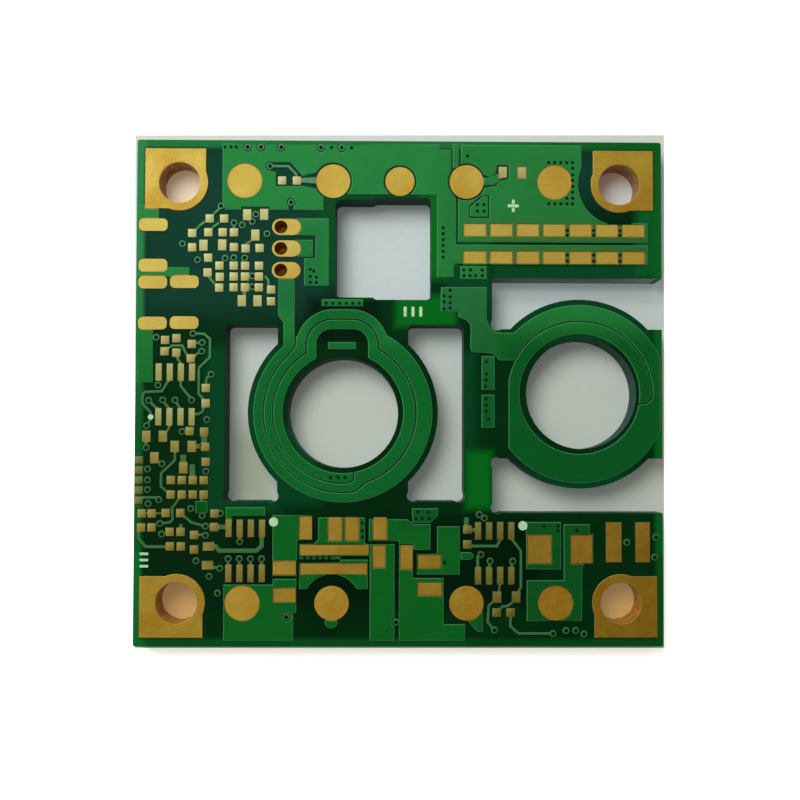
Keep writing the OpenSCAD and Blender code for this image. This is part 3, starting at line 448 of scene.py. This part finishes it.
FILM_OVER_COPPER = [
    ("MIX", [(-17.0, -13.2, 4.2, 5.5), (-10.6, 5.5, -2.4, 10.0)], 1.5, (0.0032, 0.090, 0.0165)),
    ("MIX", [(11.0, -11.0, 30.6, 6.8)], 2.2, (0.0018, 0.066, 0.011)),
    # Painted shade: darker towards the upper right and the right side
    ("MULTIPLY", [(4.2, 13.0, 31.0, 28.5)], 1.5, (0.92, 0.90, 0.86)),
    ("MULTIPLY", [(10.5, 13.0, 31.0, 20.0)], 1.5, (1.6, 0.84, 0.84)),
    ("MULTIPLY", [(22.5, 13.0, 31.0, 28.5)], 2.0, (1.0, 0.87, 0.95)),
    ("MULTIPLY", [(-31.0, -18.5, -21.5, -1.5)], 1.5, (0.6, 0.60, 0.5)),
    ("MULTIPLY", [(-16.0, 9.0, -8.5, 19.5)], 1.0, (0.75, 0.82, 0.95)),
    ("MULTIPLY", [(4.5, -15.5, 10.5, 12.5), (0.0, -15.5, 4.5, -12.0)], 0.8, (1.0, 0.76, 1.0)),
    # Painted shade: darker towards the lower right
    ("MULTIPLY", [(8.5, -29.0, 31.0, -11.0)], 2.5, (1.1, 0.72, 0.92)),
]

# The board within its rim, where inner copper darkens the film
WITHIN_THE_RIM = [(-29.4, -28.2, 29.4, 28.2)]
# Where a painted sheen grows towards the upper side, and where the tone turns towards the right
# side of the board
UPPER_SIDE = (-6.0, 17.0)
RIGHT_SIDE = (4.0, 26.0)
# Heights at which the film's tone turns: up a step, to the crest of a narrow trace, and
# into and out of the shoulder of a step
STEP = (3.19, 3.275)
CREST = (3.262, 3.286)
SHOULDER_IN = (3.215, 3.245)
SHOULDER_OUT = (3.2895, 3.275)

DARK_GREEN, DARK_GREEN_CLOUD = (0.0003, 0.0125, 0.0028, 1), (0.0006, 0.020, 0.0048, 1)
# The rim's second colour, and the copper's and the trace's second colours below, are a painted
# sheen: a pale veil of reflected light towards the top
RIM_GREEN, RIM_PAINTED_SHEEN = (0.001, 0.054, 0.010, 1), (0.010, 0.112, 0.030, 1)
RIM_GREEN_RIGHT = (0.002, 0.078, 0.012, 1)
COPPER_GREEN, COPPER_PAINTED_SHEEN = (0.0025, 0.084, 0.0105, 1), (0.013, 0.147, 0.033, 1)
TRACE_GREY, TRACE_PAINTED_SHEEN = (0.037, 0.104, 0.037, 1), (0.070, 0.175, 0.095, 1)
# Thin film on the shoulder of a step, and a painted highlight along the copper's edge
SHOULDER_HIGHLIGHT_GREEN = (0.055, 0.22, 0.10, 1)
# What clouds and mottling multiply the colour by
CLOUDED = (1.3, 1.12, 1.3, 1)
MOTTLED = (0.6, 0.7, 0.6, 1)


def green_mask():
    """Solder mask: bright over copper, dark over laminate, vivid where no inner copper is, with a
    painted sheen towards the top.
    """
    material, tree, shader, at = finish_named("green_mask")
    place = at["Place"]
    tone = use(tree, TONE, Place=place)
    clouds, mottling = tone.outputs["Clouds"], tone.outputs["Mottling"]
    upper = stretch(tree, at["Up"], *UPPER_SIDE, smooth=True)
    right = stretch(tree, at["Across"], *RIGHT_SIDE, smooth=True)

    # Over bare laminate, and at the rim that inner copper leaves free
    low = blend_colour(tree, clouds, DARK_GREEN, DARK_GREEN_CLOUD)
    low = shaded(tree, place, low, FILM_OVER_LAMINATE)
    rim = blend_colour(tree, upper, RIM_GREEN, RIM_PAINTED_SHEEN)
    rim = blend_colour(tree, right, rim, RIM_GREEN_RIGHT)
    inner = zones(tree, place, WITHIN_THE_RIM, 0.35)
    rim = shaded(tree, place, rim, FILM_AT_THE_RIM)
    low = blend_colour(tree, inner, rim, low)

    # Over copper: a painted sheen, a pale veil of reflected light, towards the upper left
    high = blend_colour(tree, upper, COPPER_GREEN, COPPER_PAINTED_SHEEN)
    high = shaded(tree, place, high, FILM_OVER_COPPER)
    high = blend_colour(tree, maths(tree, "MULTIPLY", clouds, 0.5), high,
                        blend_colour(tree, 1.0, high, CLOUDED, "MULTIPLY"))

    # Narrow traces turn bright at their crest only
    over_copper = stretch(tree, at["Height"], *STEP, smooth=True)
    narrow = put(tree, "ShaderNodeAttribute", attribute_name="narrow").outputs["Fac"]
    broad = maths(tree, "SUBTRACT", 1.0, narrow)
    crest = stretch(tree, at["Height"], *CREST, smooth=True)
    crest = maths(tree, "MULTIPLY", narrow, crest)
    raised = maths(tree, "ADD", maths(tree, "MULTIPLY", over_copper, broad), crest)
    colour = blend_colour(tree, raised, low, high)

    # The film runs thin over narrow traces and over the shoulders of broad copper; the shoulders'
    # pale green is also a painted highlight along the copper's edges
    shoulder = maths(tree, "MULTIPLY", stretch(tree, at["Height"], *SHOULDER_IN),
                     stretch(tree, at["Height"], *SHOULDER_OUT))
    shoulder = maths(tree, "MULTIPLY", shoulder, broad)
    grey = blend_colour(tree, upper, TRACE_GREY, TRACE_PAINTED_SHEEN)
    colour = blend_colour(tree, crest, colour, grey)
    colour = blend_colour(tree, maths(tree, "MULTIPLY", shoulder, 0.6), colour, SHOULDER_HIGHLIGHT_GREEN)
    colour = blend_colour(tree, maths(tree, "MULTIPLY", mottling, 0.2), colour,
                          blend_colour(tree, 1.0, colour, MOTTLED, "MULTIPLY"))
    tree.links.new(colour, shader.inputs["Base Color"])
    tree.links.new(stretch(tree, mottling, 0.0, 1.0, 0.28, 0.42), shader.inputs["Roughness"])
    shader.inputs["Specular IOR Level"].default_value = 0.045
    grain = maths(tree, "MULTIPLY", tone.outputs["Grain"], 0.3)
    bumped(tree, shader, maths(tree, "ADD", mottling, grain), 0.012, 0.6)
    return material


# Plated gold

# Heights between which a barrel begins, and a painted shadow lies on the rolled edge of a land
BARREL = (3.1, 2.9)
EDGE_SHADOW_HEIGHTS = (3.2395, 3.228)
# Painted shade: the barrel's brown and amber, down inside a hole
BARREL_SHADE_BROWN, BARREL_SHADE_AMBER = (0.19, 0.07, 0.009, 1), (0.50, 0.24, 0.035, 1)
# A painted shadow on the rolled edge of a land
EDGE_SHADOW_GREEN = (0.008, 0.050, 0.014, 1)
# What a pit keeps of the deep tone's red, green and blue
PIT_SHARES = (0.62, 0.42, 0.5)


def gold(name, bright, deep, pitted, grit=2.4, edge_shadow_strength=0.9):
    """Plated gold: level on top, with wiping lines and pits, browner inside a hole as painted
    shade, and darkened on its rolled edge by a painted shadow.
    """
    material, tree, shader, at = finish_named(name)
    place = at["Place"]
    tone = use(tree, TONE, Place=place, Clouds=0.25, Mottling=1.6, Grain=12.0)
    mottling = tone.outputs["Mottling"]
    lines = use(tree, WIPING, Place=place, Along=0.9, Across=7.0).outputs[0]
    colour = blend_colour(tree, tone.outputs["Clouds"], deep, bright)
    colour = blend_colour(tree, maths(tree, "MULTIPLY", lines, 0.35), colour, deep)
    spots = use(tree, PITS, Place=place, Density=grit, Size=pitted).outputs[0]
    spots = maths(tree, "MULTIPLY", spots, 0.8)
    pit = (*(part * share for part, share in zip(deep, PIT_SHARES)), 1)
    colour = blend_colour(tree, spots, colour, pit)
    # Painted shade: brown and mottled down inside a hole
    wall = stretch(tree, at["Height"], *BARREL, smooth=True)
    barrel_mottle = stretch(tree, mottling, 0.2, 0.9)
    colour = blend_colour(tree, wall, colour,
                          blend_colour(tree, barrel_mottle, BARREL_SHADE_BROWN, BARREL_SHADE_AMBER))
    # A painted shadow, dark green, lies on the rolled edge of a land where it meets the film
    edge_shadow = stretch(tree, at["Height"], *EDGE_SHADOW_HEIGHTS, smooth=True)
    edge_shadow = maths(tree, "MULTIPLY", edge_shadow, stretch(tree, wall, 0.0, 1.0, edge_shadow_strength, 0.0))
    colour = blend_colour(tree, edge_shadow, colour, EDGE_SHADOW_GREEN)
    tree.links.new(colour, shader.inputs["Base Color"])
    bare = stretch(tree, maths(tree, "MAXIMUM", wall, edge_shadow), 0.0, 1.0, 1.0, 0.35)
    tree.links.new(bare, shader.inputs["Metallic"])
    rough = stretch(tree, maths(tree, "ADD", lines, mottling), 0.0, 2.0, 0.30, 0.48)
    tree.links.new(rough, shader.inputs["Roughness"])
    dents = maths(tree, "SUBTRACT", maths(tree, "MULTIPLY", mottling, 0.5), spots)
    dents = maths(tree, "ADD", dents, maths(tree, "MULTIPLY", lines, 0.25))
    bumped(tree, shader, dents, 0.02, 0.7)
    return material


# Cut laminate, foil and print

PLY_DARK, PLY_PALE = (0.008, 0.036, 0.030, 1), (0.022, 0.070, 0.062, 1)
PLY_SHADOW = (0.006, 0.028, 0.022, 1)
# Painted light on the upper wall of the slot beside the inductor, a wall that faces away from the
# light, and a wall greened by the film
CUT_SHADES = [
    ("MIX", [(9.9, 12.9, 29.6, 14.0)], 0.3, (0.20, 0.28, 0.27)),
    ("MIX", [(-21.5, -14.2, -19.6, 5.2)], 0.4, (0.004, 0.055, 0.022)),
]


def cut_laminate():
    """Routed glass-epoxy: dark resin with level lines of glass cloth."""
    material, tree, shader, at = finish_named("cut_laminate")
    tone = use(tree, TONE, Place=at["Place"], Clouds=0.3, Mottling=2.0, Grain=14.0)
    ply = put(tree, "ShaderNodeTexWave",
              {"Vector": at["Place"], "Scale": 1.9, "Distortion": 0.6, "Detail": 2.0},
              wave_type="BANDS", bands_direction="Z").outputs["Fac"]
    colour = blend_colour(tree, ply, PLY_DARK, PLY_PALE)
    mottled = maths(tree, "MULTIPLY", tone.outputs["Mottling"], 0.5)
    colour = blend_colour(tree, mottled, colour, PLY_SHADOW)
    colour = shaded(tree, at["Place"], colour, CUT_SHADES)
    tree.links.new(colour, shader.inputs["Base Color"])
    rough = stretch(tree, tone.outputs["Grain"], 0, 1, 0.45, 0.7)
    tree.links.new(rough, shader.inputs["Roughness"])
    shader.inputs["Specular IOR Level"].default_value = 0.15
    bumped(tree, shader, maths(tree, "ADD", ply, tone.outputs["Grain"]), 0.02, 0.6)
    return material


def copper_foil():
    """Bare foil, for the copper that the film hides."""
    material, tree, shader, at = finish_named("copper_foil")
    tone = use(tree, TONE, Place=at["Place"])
    colour = blend_colour(tree, tone.outputs["Mottling"],
                          (0.55, 0.24, 0.12, 1), (0.70, 0.36, 0.20, 1))
    tree.links.new(colour, shader.inputs["Base Color"])
    shader.inputs["Metallic"].default_value = 1.0
    rough = stretch(tree, tone.outputs["Grain"], 0, 1, 0.3, 0.5)
    tree.links.new(rough, shader.inputs["Roughness"])
    bumped(tree, shader, tone.outputs["Grain"], 0.01)
    return material


def matt_spots(name, dark, pale, gloss):
    """Printed spots and dark spots of painted shade: matt, a little uneven and grainy."""
    material, tree, shader, at = finish_named(name)
    tone = use(tree, TONE, Place=at["Place"], Mottling=3.0, Grain=16.0)
    colour = blend_colour(tree, tone.outputs["Mottling"], dark, pale)
    tree.links.new(colour, shader.inputs["Base Color"])
    rough = stretch(tree, tone.outputs["Grain"], 0, 1, 0.45, 0.65)
    tree.links.new(rough, shader.inputs["Roughness"])
    shader.inputs["Specular IOR Level"].default_value = gloss
    bumped(tree, shader, tone.outputs["Mottling"], 0.01)
    return material


MASK = green_mask()
# Each gold: its bright and its deep tone, the size of its pits, and for some how many pits
# there are and how strong the painted shadow on its edge is
GOLD = gold("gold_land", (0.90, 0.68, 0.16, 1), (0.80, 0.50, 0.08, 1), 0.13)
BRIGHT_GOLD = gold("bright_gold", (0.90, 0.73, 0.20, 1), (0.80, 0.57, 0.12, 1), 0.18, grit=3.0)
CORNER_GOLD = gold("corner_gold", (0.90, 0.68, 0.16, 1), (0.76, 0.45, 0.07, 1), 0.32,
                   grit=4.5, edge_shadow_strength=0.0)
# Painted shade: a darker copy of the corner gold, for the corners away from the upper left
SHADED_CORNER_GOLD = gold("shaded_corner_gold", (0.77, 0.57, 0.12, 1), (0.63, 0.40, 0.06, 1), 0.30,
                        grit=4.5, edge_shadow_strength=0.0)
DARKER_GOLD = gold("darker_gold", (0.75, 0.58, 0.14, 1), (0.64, 0.42, 0.08, 1), 0.10)
CREAM_GOLD = gold("cream_gold", (0.78, 0.75, 0.38, 1), (0.68, 0.65, 0.30, 1), 0.13)
OLIVE_GOLD = gold("olive_gold", (0.62, 0.58, 0.27, 1), (0.54, 0.50, 0.21, 1), 0.13)
# Painted shade: darker, greener copies of the gold for the lower lands
SHADED_LOWER_LEFT_GOLD = gold("shaded_lower_left_gold", (0.50, 0.43, 0.14, 1), (0.42, 0.36, 0.11, 1), 0.13)
SHADED_LOWER_RIGHT_GOLD = gold("shaded_lower_right_gold", (0.47, 0.48, 0.20, 1), (0.40, 0.42, 0.16, 1), 0.13)
DARK_GOLD = gold("dark_gold", (0.29, 0.33, 0.11, 1), (0.23, 0.27, 0.08, 1), 0.13)
CUT = cut_laminate()
FOIL = copper_foil()
INK = matt_spots("white_ink", (0.25, 0.42, 0.26, 1), (0.36, 0.54, 0.37, 1), 0.2)
# Painted shade: the dark in each via's dimple
VIA_SHADE = matt_spots("via_dimple_shade", (0.0005, 0.007, 0.002, 1), (0.001, 0.018, 0.005, 1), 0.05)

# The corner land at the upper left takes the lit corner gold, and the other corners its copy in
# painted shade; the lower lands take their golds in painted shade
LAND_FINISHES = {
    "mounting_land_nw": CORNER_GOLD, "mounting_land": SHADED_CORNER_GOLD,
    "terminal_land": BRIGHT_GOLD, "edge_lands": BRIGHT_GOLD, "rail_lands": BRIGHT_GOLD,
    "chip_lands_upper_left": CREAM_GOLD, "chip_lands_top": CREAM_GOLD,
    "chip_lands_left": OLIVE_GOLD, "so_lands_left": OLIVE_GOLD,
    "chip_lands_lower_left": SHADED_LOWER_LEFT_GOLD, "so_lands_lower_left": SHADED_LOWER_LEFT_GOLD,
    "chip_lands_lower_right": SHADED_LOWER_RIGHT_GOLD, "so_lands_lower_right": SHADED_LOWER_RIGHT_GOLD,
    "side_lands": DARK_GOLD, "bar_lands": DARKER_GOLD, "capacitor_lands": DARKER_GOLD,
    "switch_lands": DARKER_GOLD, "diode_lands": DARKER_GOLD,
}


def land_finish(name):
    """The gold of a group of lands: the first entry that its name starts with."""
    return next((gold for start, gold in LAND_FINISHES.items() if name.startswith(start)), GOLD)


for name, obj in nodes.items():
    if "mask" in name:
        coat(obj, MASK)
    elif name == "laminate":
        coat(obj, CUT)
    elif name == "printed_marks":
        coat(obj, INK)
    elif "land" in name:
        coat(obj, land_finish(name))
    else:
        coat(obj, FOIL)


# The laminate and its two films

# On the output side, from x0 to x1 and above y0, traces look like broad copper
OUTPUT_SIDE = (4.0, 12.5, 22.0)


def mark_narrow(piece):
    """Marks the film over the signal traces, which looks thinner and greyer."""
    let_go()
    traces = face_tree(nodes["signal_traces"].data)
    layer = piece.data.attributes.new("narrow", "FLOAT", "FACE")
    x0, x1, y0 = OUTPUT_SIDE
    for face in piece.data.polygons:
        x, y = face.center.x, face.center.y
        hit = traces.ray_cast(Vector((x, y, ABOVE_FILM * MM)), DOWN, TRACE_REACH * MM)
        as_broad = x0 < x / MM < x1 and y0 < y / MM
        layer.data[face.index].value = 1.0 if hit[0] is not None and not as_broad else 0.0


film = merged_copy("solder_mask_top", "mask_film")
mark_narrow(film)
true_edges(film)
lean_walls(film)
soft_curves(film)
coat(film, MASK)
settle(film, "solder_mask", "solder_mask_top")

for name, piece_name, finish, slot in (
        ("laminate", "routed_laminate", CUT, "laminate"),
        ("solder_mask_bottom", "underside_film", MASK, "solder_mask")):
    sheet = merged_copy(name, piece_name)
    true_edges(sheet)
    soft_curves(sheet)
    coat(sheet, finish)
    settle(sheet, slot, name)


# The plated lands, each with its edge rolled, and rounder at the large holes

for name in [name for name in nodes if "land" in name]:
    land = merged_copy(name, name + "_plated")
    coat(land, land_finish(name))
    roll_edges(land, LAND_ROLL, 2 if name.startswith(("mounting", "terminal")) else 1)
    soft_curves(land)
    settle(land, "gold_plating", name)


# The vias, dark with painted shade

def dish(x, y, level, radius):
    """A via: a thin disc whose upper face is inset and sunk."""
    let_go()
    bpy.ops.mesh.primitive_cylinder_add(vertices=DISH_SIDES, radius=radius * MM,
                                        depth=DISH_THICK * MM,
                                        location=(x * MM, y * MM, level * MM))
    piece = bpy.context.object
    bpy.ops.object.mode_set(mode="EDIT")
    select_where(piece, "faces", lambda face: face.normal.z > 0.9)
    bpy.ops.mesh.inset(thickness=radius * DISH_RIM_SHARE * MM)
    bpy.ops.transform.translate(value=(0, 0, -DISH_SINK * MM))
    bpy.ops.object.mode_set(mode="OBJECT")
    return piece


def film_level(x, y):
    """The height of the mask film at a place, or nothing where it is open."""
    hit = film_faces.ray_cast(Vector((x * MM, y * MM, ABOVE_BOARD * MM)), DOWN, FILM_REACH * MM)
    return None if hit[0] is None else hit[0].z / MM


def up(x, *ys):
    """Places one above the other."""
    return [(x, y) for y in ys]


def along(y, *xs):
    """Places side by side."""
    return [(x, y) for x in xs]


VIAS = [
    # Rows beside the transformer turns and above the arch
    *along(-9.8, -7.9, -7.0, -6.2),
    *along(10.2, -8.45, -7.7, -6.9, -6.15, -5.4, -4.65),
    # Fields between the windows and the inductor
    *up(5.1, 11.1, 10.4, 9.6), *up(5.8, 11.75, 11.0, 10.3, 9.7),
    (10.0, 3.5), (10.0, 2.1), (9.95, 1.4), (9.9, 0.65),
    *up(9.95, -0.75, -1.5, -2.2), (10.2, -3.1),
    *along(14.1, 7.35, 8.15, 9.5), *along(13.45, 7.4, 8.1, 8.75, 9.5),
    (2.1, -13.7), (3.3, -13.8), *along(-14.5, 1.9, 2.6, 3.4),
    # Output side
    *along(28.25, -20.2, -19.5, -18.9, -7.9, -5.6), (7.8, 27.35),
    *up(5.0, 19.0, 18.3, 17.6, 16.95, 16.25, 15.6),
    *[(x, y) for x in (17.2, 17.9, 18.6, 19.3, 19.95) for y in (26.65, 21.85)],
    *up(19.98, 26.0, 25.2, 24.6, 23.9, 23.2, 22.5), (19.3, 22.5),
    *along(21.7, 8.95, 9.7), *along(20.95, 8.95, 9.7),
    *[(x, y) for x in (19.35, 22.4, 25.45) for y in (18.75, 18.2, 15.9, 15.2)],
    # Terminal side and input side
    (-10.3, 14.1), (-9.9, 13.9), (-10.3, 13.3), (-9.6, 13.2), *along(12.6, -10.3, -9.6),
    *up(-4.2, -15.0, -15.9, -16.6),
    *along(-19.65, -6.35, -5.65, -5.0, -4.3), *along(-18.93, -10.8, -10.1, -9.4, -8.7, -8.0),
    *up(18.2, -15.3, -15.9), (16.6, -15.35), (20.35, -15.85), (5.2, -19.5),
]
# Single vias in rings at the ends of traces
RING_VIAS = [
    (-25, 17), (-19.1, 19.45), (-18.15, 19.2), (-16.6, 20.45), (-17, 19.6), (-20.1, 15.35),
    (-19.1, 15.4), (-17.85, 15.4), (-23.25, 15.15), (-16.95, 13.3), (-16.95, 12.05),
    (-15.3, 18.2), (-20.6, 21.4), (-27.9, 6.2), (-22.65, 5.6), (-22.7, 4.6), (-23.7, 6.65),
    (-21.6, 1.95), (-27.65, 0.7), (-28.7, -1.05), *along(-1, -27.1, -25.7, -23.8),
    (-22.05, -3.25), (-28.9, -3.95), (-24.85, -4.6), (-28.95, -6.45), (-27.1, -8.3),
    (-22.1, -9.15), *up(-28.75, -8.9, -10.15, -11.25), (-27.45, -12.4), (-28.65, -12.85),
    (-23.8, -13.4), (-22.5, -14.2), (-20.4, -13.95), (-27.1, -16.3), (-27.3, -15.1),
    *up(-22.1, -16.45, -15.4), (-23.15, -19.35), (-21.65, -21.1), (-20.7, -23),
    (-20.45, -20.2), (-18.2, -17.15), *[(-19.5 + n * 1.27, -19.1) for n in range(4)],
    (-15, 26.05), (-12.55, 21.85), *along(28.25, -17.6, -16.05, -13.7, -9.15, -6.75),
    (-12.85, -25.7), (-0.35, -26.3), (9.15, -14.05), (9.75, -14.45), (9.35, -18.6),
    *along(-19.35, 10.4, 13), (10.9, -27.2), (17.6, -27.6), *along(-27.25, 19.1, 20.2),
    (21.15, -27.65), (26.1, -17.2), (29.45, -16.6), (29.3, -18.9),
]

let_go()
film_faces = face_tree(film.data)
dishes = []
for x, y in VIAS:
    level = film_level(x, y)
    if level and level > FILM_LOW - 0.01:
        dishes.append(dish(x, y, level + DISH_LIFT, VIA_RADIUS))
for x, y in RING_VIAS:
    dishes.append(dish(x, y, FILM_HIGH + DISH_LIFT, RING_VIA_RADIUS))
dimples = joined(dishes, "via_plugs")
soft_curves(dimples)
coat(dimples, VIA_SHADE)
settle(dimples, "solder_mask")


# Printed strokes: a plain plus in three parts and two sets of plain bars, as x0, y0, x1, y1

STROKES = [
    (12.45, 21.4, 13.75, 21.75), (12.93, 21.8, 13.27, 22.3), (12.93, 20.85, 13.27, 21.35),
    (0.45, 8.7, 0.8, 9.85), (1.35, 8.7, 1.7, 9.85), (2.25, 8.7, 2.6, 9.85),
    (-29.6, -18.7, -28.6, -18.4), (-29.6, -19.4, -28.6, -19.1), (-29.6, -20.1, -28.6, -19.8),
]


def stroke(x0, y0, x1, y1):
    """A thin bar of ink on the film, with its four corners rounded."""
    let_go()
    x, y = (x0 + x1) / 2, (y0 + y1) / 2
    level = film_level(x, y) + INK_LIFT
    bpy.ops.mesh.primitive_cube_add(size=1, location=(x * MM, y * MM, level * MM))
    piece = bpy.context.object
    piece.dimensions = ((x1 - x0) * MM, (y1 - y0) * MM, INK_THICK * MM)
    bpy.ops.object.transform_apply(location=True, rotation=True, scale=True)
    bpy.ops.object.mode_set(mode="EDIT")
    select_where(piece, "edges",
                 lambda edge: abs(edge.verts[0].co.z - edge.verts[1].co.z) > INK_THICK * MM / 2)
    bpy.ops.mesh.bevel(offset=INK_CORNER * MM, segments=3)
    bpy.ops.object.mode_set(mode="OBJECT")
    return piece


bars = joined([stroke(*ends) for ends in STROKES], "printed_bars")
coat(bars, INK)
settle(bars, "ink")


# Stage

FLOOR_HALF = 900
FLOOR_LEVEL = -0.1
PAPER_LEVEL = -0.01
# The sheet under the board, by its four corners, a little larger than the board
PAPER_CORNERS = [(-30.89, -29.9), (31.29, -29.93), (-31.48, 30.71), (31.63, 31.11)]

# What shows through the board: the corner holes, the terminal slot and the slot by the inductor
LOWER_HOLES = [(-28.5, -27.5, -22.0, -21.0), (22.0, -27.5, 28.5, -21.0)]
UPPER_LEFT_HOLE = [(-28.5, 21.0, -22.0, 27.5)]
UPPER_RIGHT_HOLE = [(22.0, 21.0, 28.5, 27.5)]
TERMINAL_SLOT = [(-15.2, 11.5, -12.2, 20.5)]
# Tones over the paper: darker and yellower under the left window, brighter along the top strip,
# painted bounce light from the gold in the corner holes, painted light that lifts the wall's
# shadow in the slot by the inductor, and painted shade, dark brown, in the terminal slot
PAPER_SHADES = [
    ("MIX", [(-21.0, -13.5, -15.0, -4.0)], 2.5, (0.20, 0.22, 0.13)),
    ("MIX", [(-40.0, 28.7, 40.0, 40.0)], 0.4, (0.40, 0.42, 0.385)),
    ("MIX", UPPER_LEFT_HOLE, 0.6, (0.50, 0.42, 0.34)),
    ("MIX", [(10.6, 11.8, 31.0, 13.8)], 0.8, (0.46, 0.54, 0.60)),
    ("MIX", TERMINAL_SLOT, 0.5, (0.12, 0.04, 0.003)),
    ("MIX", LOWER_HOLES, 0.6, (0.30, 0.175, 0.045)),
]
# A painted glow that lifts the paper's shadows, warm where the gold bounces light into the holes
# and the terminal slot, and cool in the slot by the inductor
PAPER_PAINTED_GLOW = [
    ("MIX", TERMINAL_SLOT, 0.5, (0.17, 0.06, 0.003)),
    ("MIX", LOWER_HOLES, 0.6, (0.44, 0.27, 0.12)),
    ("MIX", UPPER_LEFT_HOLE, 0.6, (0.40, 0.30, 0.20)),
    ("MIX", UPPER_RIGHT_HOLE, 0.6, (0.24, 0.15, 0.13)),
    ("MIX", [(10.6, 11.6, 31.0, 13.8)], 0.6, (0.24, 0.30, 0.33)),
]


def flat_sheet(name, corners, level, material):
    """A level sheet of the stage through four corners."""
    let_go()
    bpy.ops.mesh.primitive_plane_add(size=2)
    sheet = bpy.context.object
    sheet.name = name
    for v, (x, y) in zip(sheet.data.vertices, corners):
        v.co = (x * MM, y * MM, level * MM)
    coat(sheet, material)
    let_go()


def floor_finish():
    """The pale floor, a little brighter than the lights make it."""
    material, tree, shader, at = finish_named("pale_floor")
    tone = use(tree, TONE, Place=at["Place"], Clouds=0.06, Mottling=0.5, Grain=5.0)
    colour = blend_colour(tree, tone.outputs["Clouds"],
                          (0.93, 0.93, 0.93, 1), (0.96, 0.96, 0.96, 1))
    tree.links.new(colour, shader.inputs["Base Color"])
    shader.inputs["Roughness"].default_value = 0.9
    shader.inputs["Specular IOR Level"].default_value = 0.1
    shader.inputs["Emission Color"].default_value = (1, 1, 1, 1)
    shader.inputs["Emission Strength"].default_value = 0.55
    bumped(tree, shader, tone.outputs["Grain"], 0.01)
    return material


def paper_finish():
    """Grey paper under the board: brighter and cooler towards the top as painted light, darker and
    yellower under the left window, tinted below holes by painted bounce light and painted shade,
    and lifted by a painted glow.
    """
    material, tree, shader, at = finish_named("grey_paper")
    place = at["Place"]
    tone = use(tree, TONE, Place=place, Clouds=0.15, Mottling=0.9, Grain=5.0)
    # Painted light: brighter and cooler towards the top
    colour = blend_colour(tree, stretch(tree, at["Up"], -4.0, 18.0, smooth=True),
                          (0.33, 0.35, 0.315, 1), (0.36, 0.405, 0.43, 1))
    colour = shaded(tree, place, colour, PAPER_SHADES)
    mottled = maths(tree, "MULTIPLY", tone.outputs["Mottling"], 0.12)
    colour = blend_colour(tree, mottled, colour, (0.26, 0.27, 0.25, 1))
    tree.links.new(colour, shader.inputs["Base Color"])
    shader.inputs["Roughness"].default_value = 0.9
    shader.inputs["Specular IOR Level"].default_value = 0.1
    # Painted light: a faint glow that lifts the paper's shadows
    glow = shaded(tree, place, (0.15, 0.19, 0.20, 1), PAPER_PAINTED_GLOW)
    tree.links.new(glow, shader.inputs["Emission Color"])
    shader.inputs["Emission Strength"].default_value = 0.5
    bumped(tree, shader, tone.outputs["Grain"], 0.01)
    return material


flat_sheet("floor", [(x * FLOOR_HALF, y * FLOOR_HALF) for y in (-1, 1) for x in (-1, 1)],
           FLOOR_LEVEL, floor_finish())
flat_sheet("paper", PAPER_CORNERS, PAPER_LEVEL, paper_finish())


# Light

# The room is bright towards the window, and dim and warm away from it
TO_THE_WINDOW = (-0.62, 0.68, 0.0)
ROOM_DIM, ROOM_WARM = (0.134, 0.082, 0.0036, 1), (0.44, 0.325, 0.055, 1)
ROOM_BRIGHT = (0.78, 0.87, 0.86, 1)
BACKDROP = (0.93, 0.94, 0.95, 1)

world = bpy.data.worlds.new("studio")
bpy.context.scene.world = world
world.use_nodes = True
sky = world.node_tree
sky.nodes.clear()
ray = put(sky, "ShaderNodeTexCoord").outputs["Generated"]
slope = vector_maths(sky, "DOT_PRODUCT", ray, TO_THE_WINDOW, "Value")
tint = blend_colour(sky, stretch(sky, slope, -0.28, 0.0), ROOM_DIM, ROOM_WARM)
tint = blend_colour(sky, stretch(sky, slope, 0.0, 0.34), tint, ROOM_BRIGHT)
seen = put(sky, "ShaderNodeLightPath").outputs["Is Camera Ray"]
tint = blend_colour(sky, seen, tint, BACKDROP)
glow = put(sky, "ShaderNodeBackground", {"Color": tint, "Strength": 1.0}).outputs[0]
put(sky, "ShaderNodeOutputWorld", {"Surface": glow})


def soft_box(name, at, size, power, colour, in_gloss):
    """A round lamp in metres and watts that points at the board, unseen by the camera."""
    lamp = bpy.data.lights.new(name, "AREA")
    lamp.shape = "DISK"
    lamp.size = size
    lamp.energy = power
    lamp.color = colour
    holder = bpy.data.objects.new(name, lamp)
    bpy.context.scene.collection.objects.link(holder)
    holder.location = at
    holder.rotation_euler = (-Vector(at)).to_track_quat("-Z", "Y").to_euler()
    holder.visible_camera = False
    holder.visible_glossy = in_gloss


soft_box("overhead_light", (-0.077, 0.099, 0.180), 0.14, 0.52, (1.0, 1.0, 0.97), False)
soft_box("window_light", (-0.36, 0.40, 0.46), 0.34, 0.5, (1.0, 0.99, 0.96), True)


# Camera, almost straight above the board

TILT = (1.513, -0.683, 0.120)

lens = bpy.data.cameras.new("camera")
lens.sensor_width = 36
lens.lens = 40.81
lens.shift_x = -0.0019
lens.shift_y = 0.0319
lens.clip_start = 0.005
camera = bpy.data.objects.new("camera", lens)
camera.location = (-0.001, -0.0066, 0.10724)
camera.rotation_euler = [math.radians(angle) for angle in TILT]
bpy.context.scene.collection.objects.link(camera)
bpy.context.scene.camera = camera
view = bpy.context.scene.view_settings
view.view_transform = "Standard"
view.look = "None"
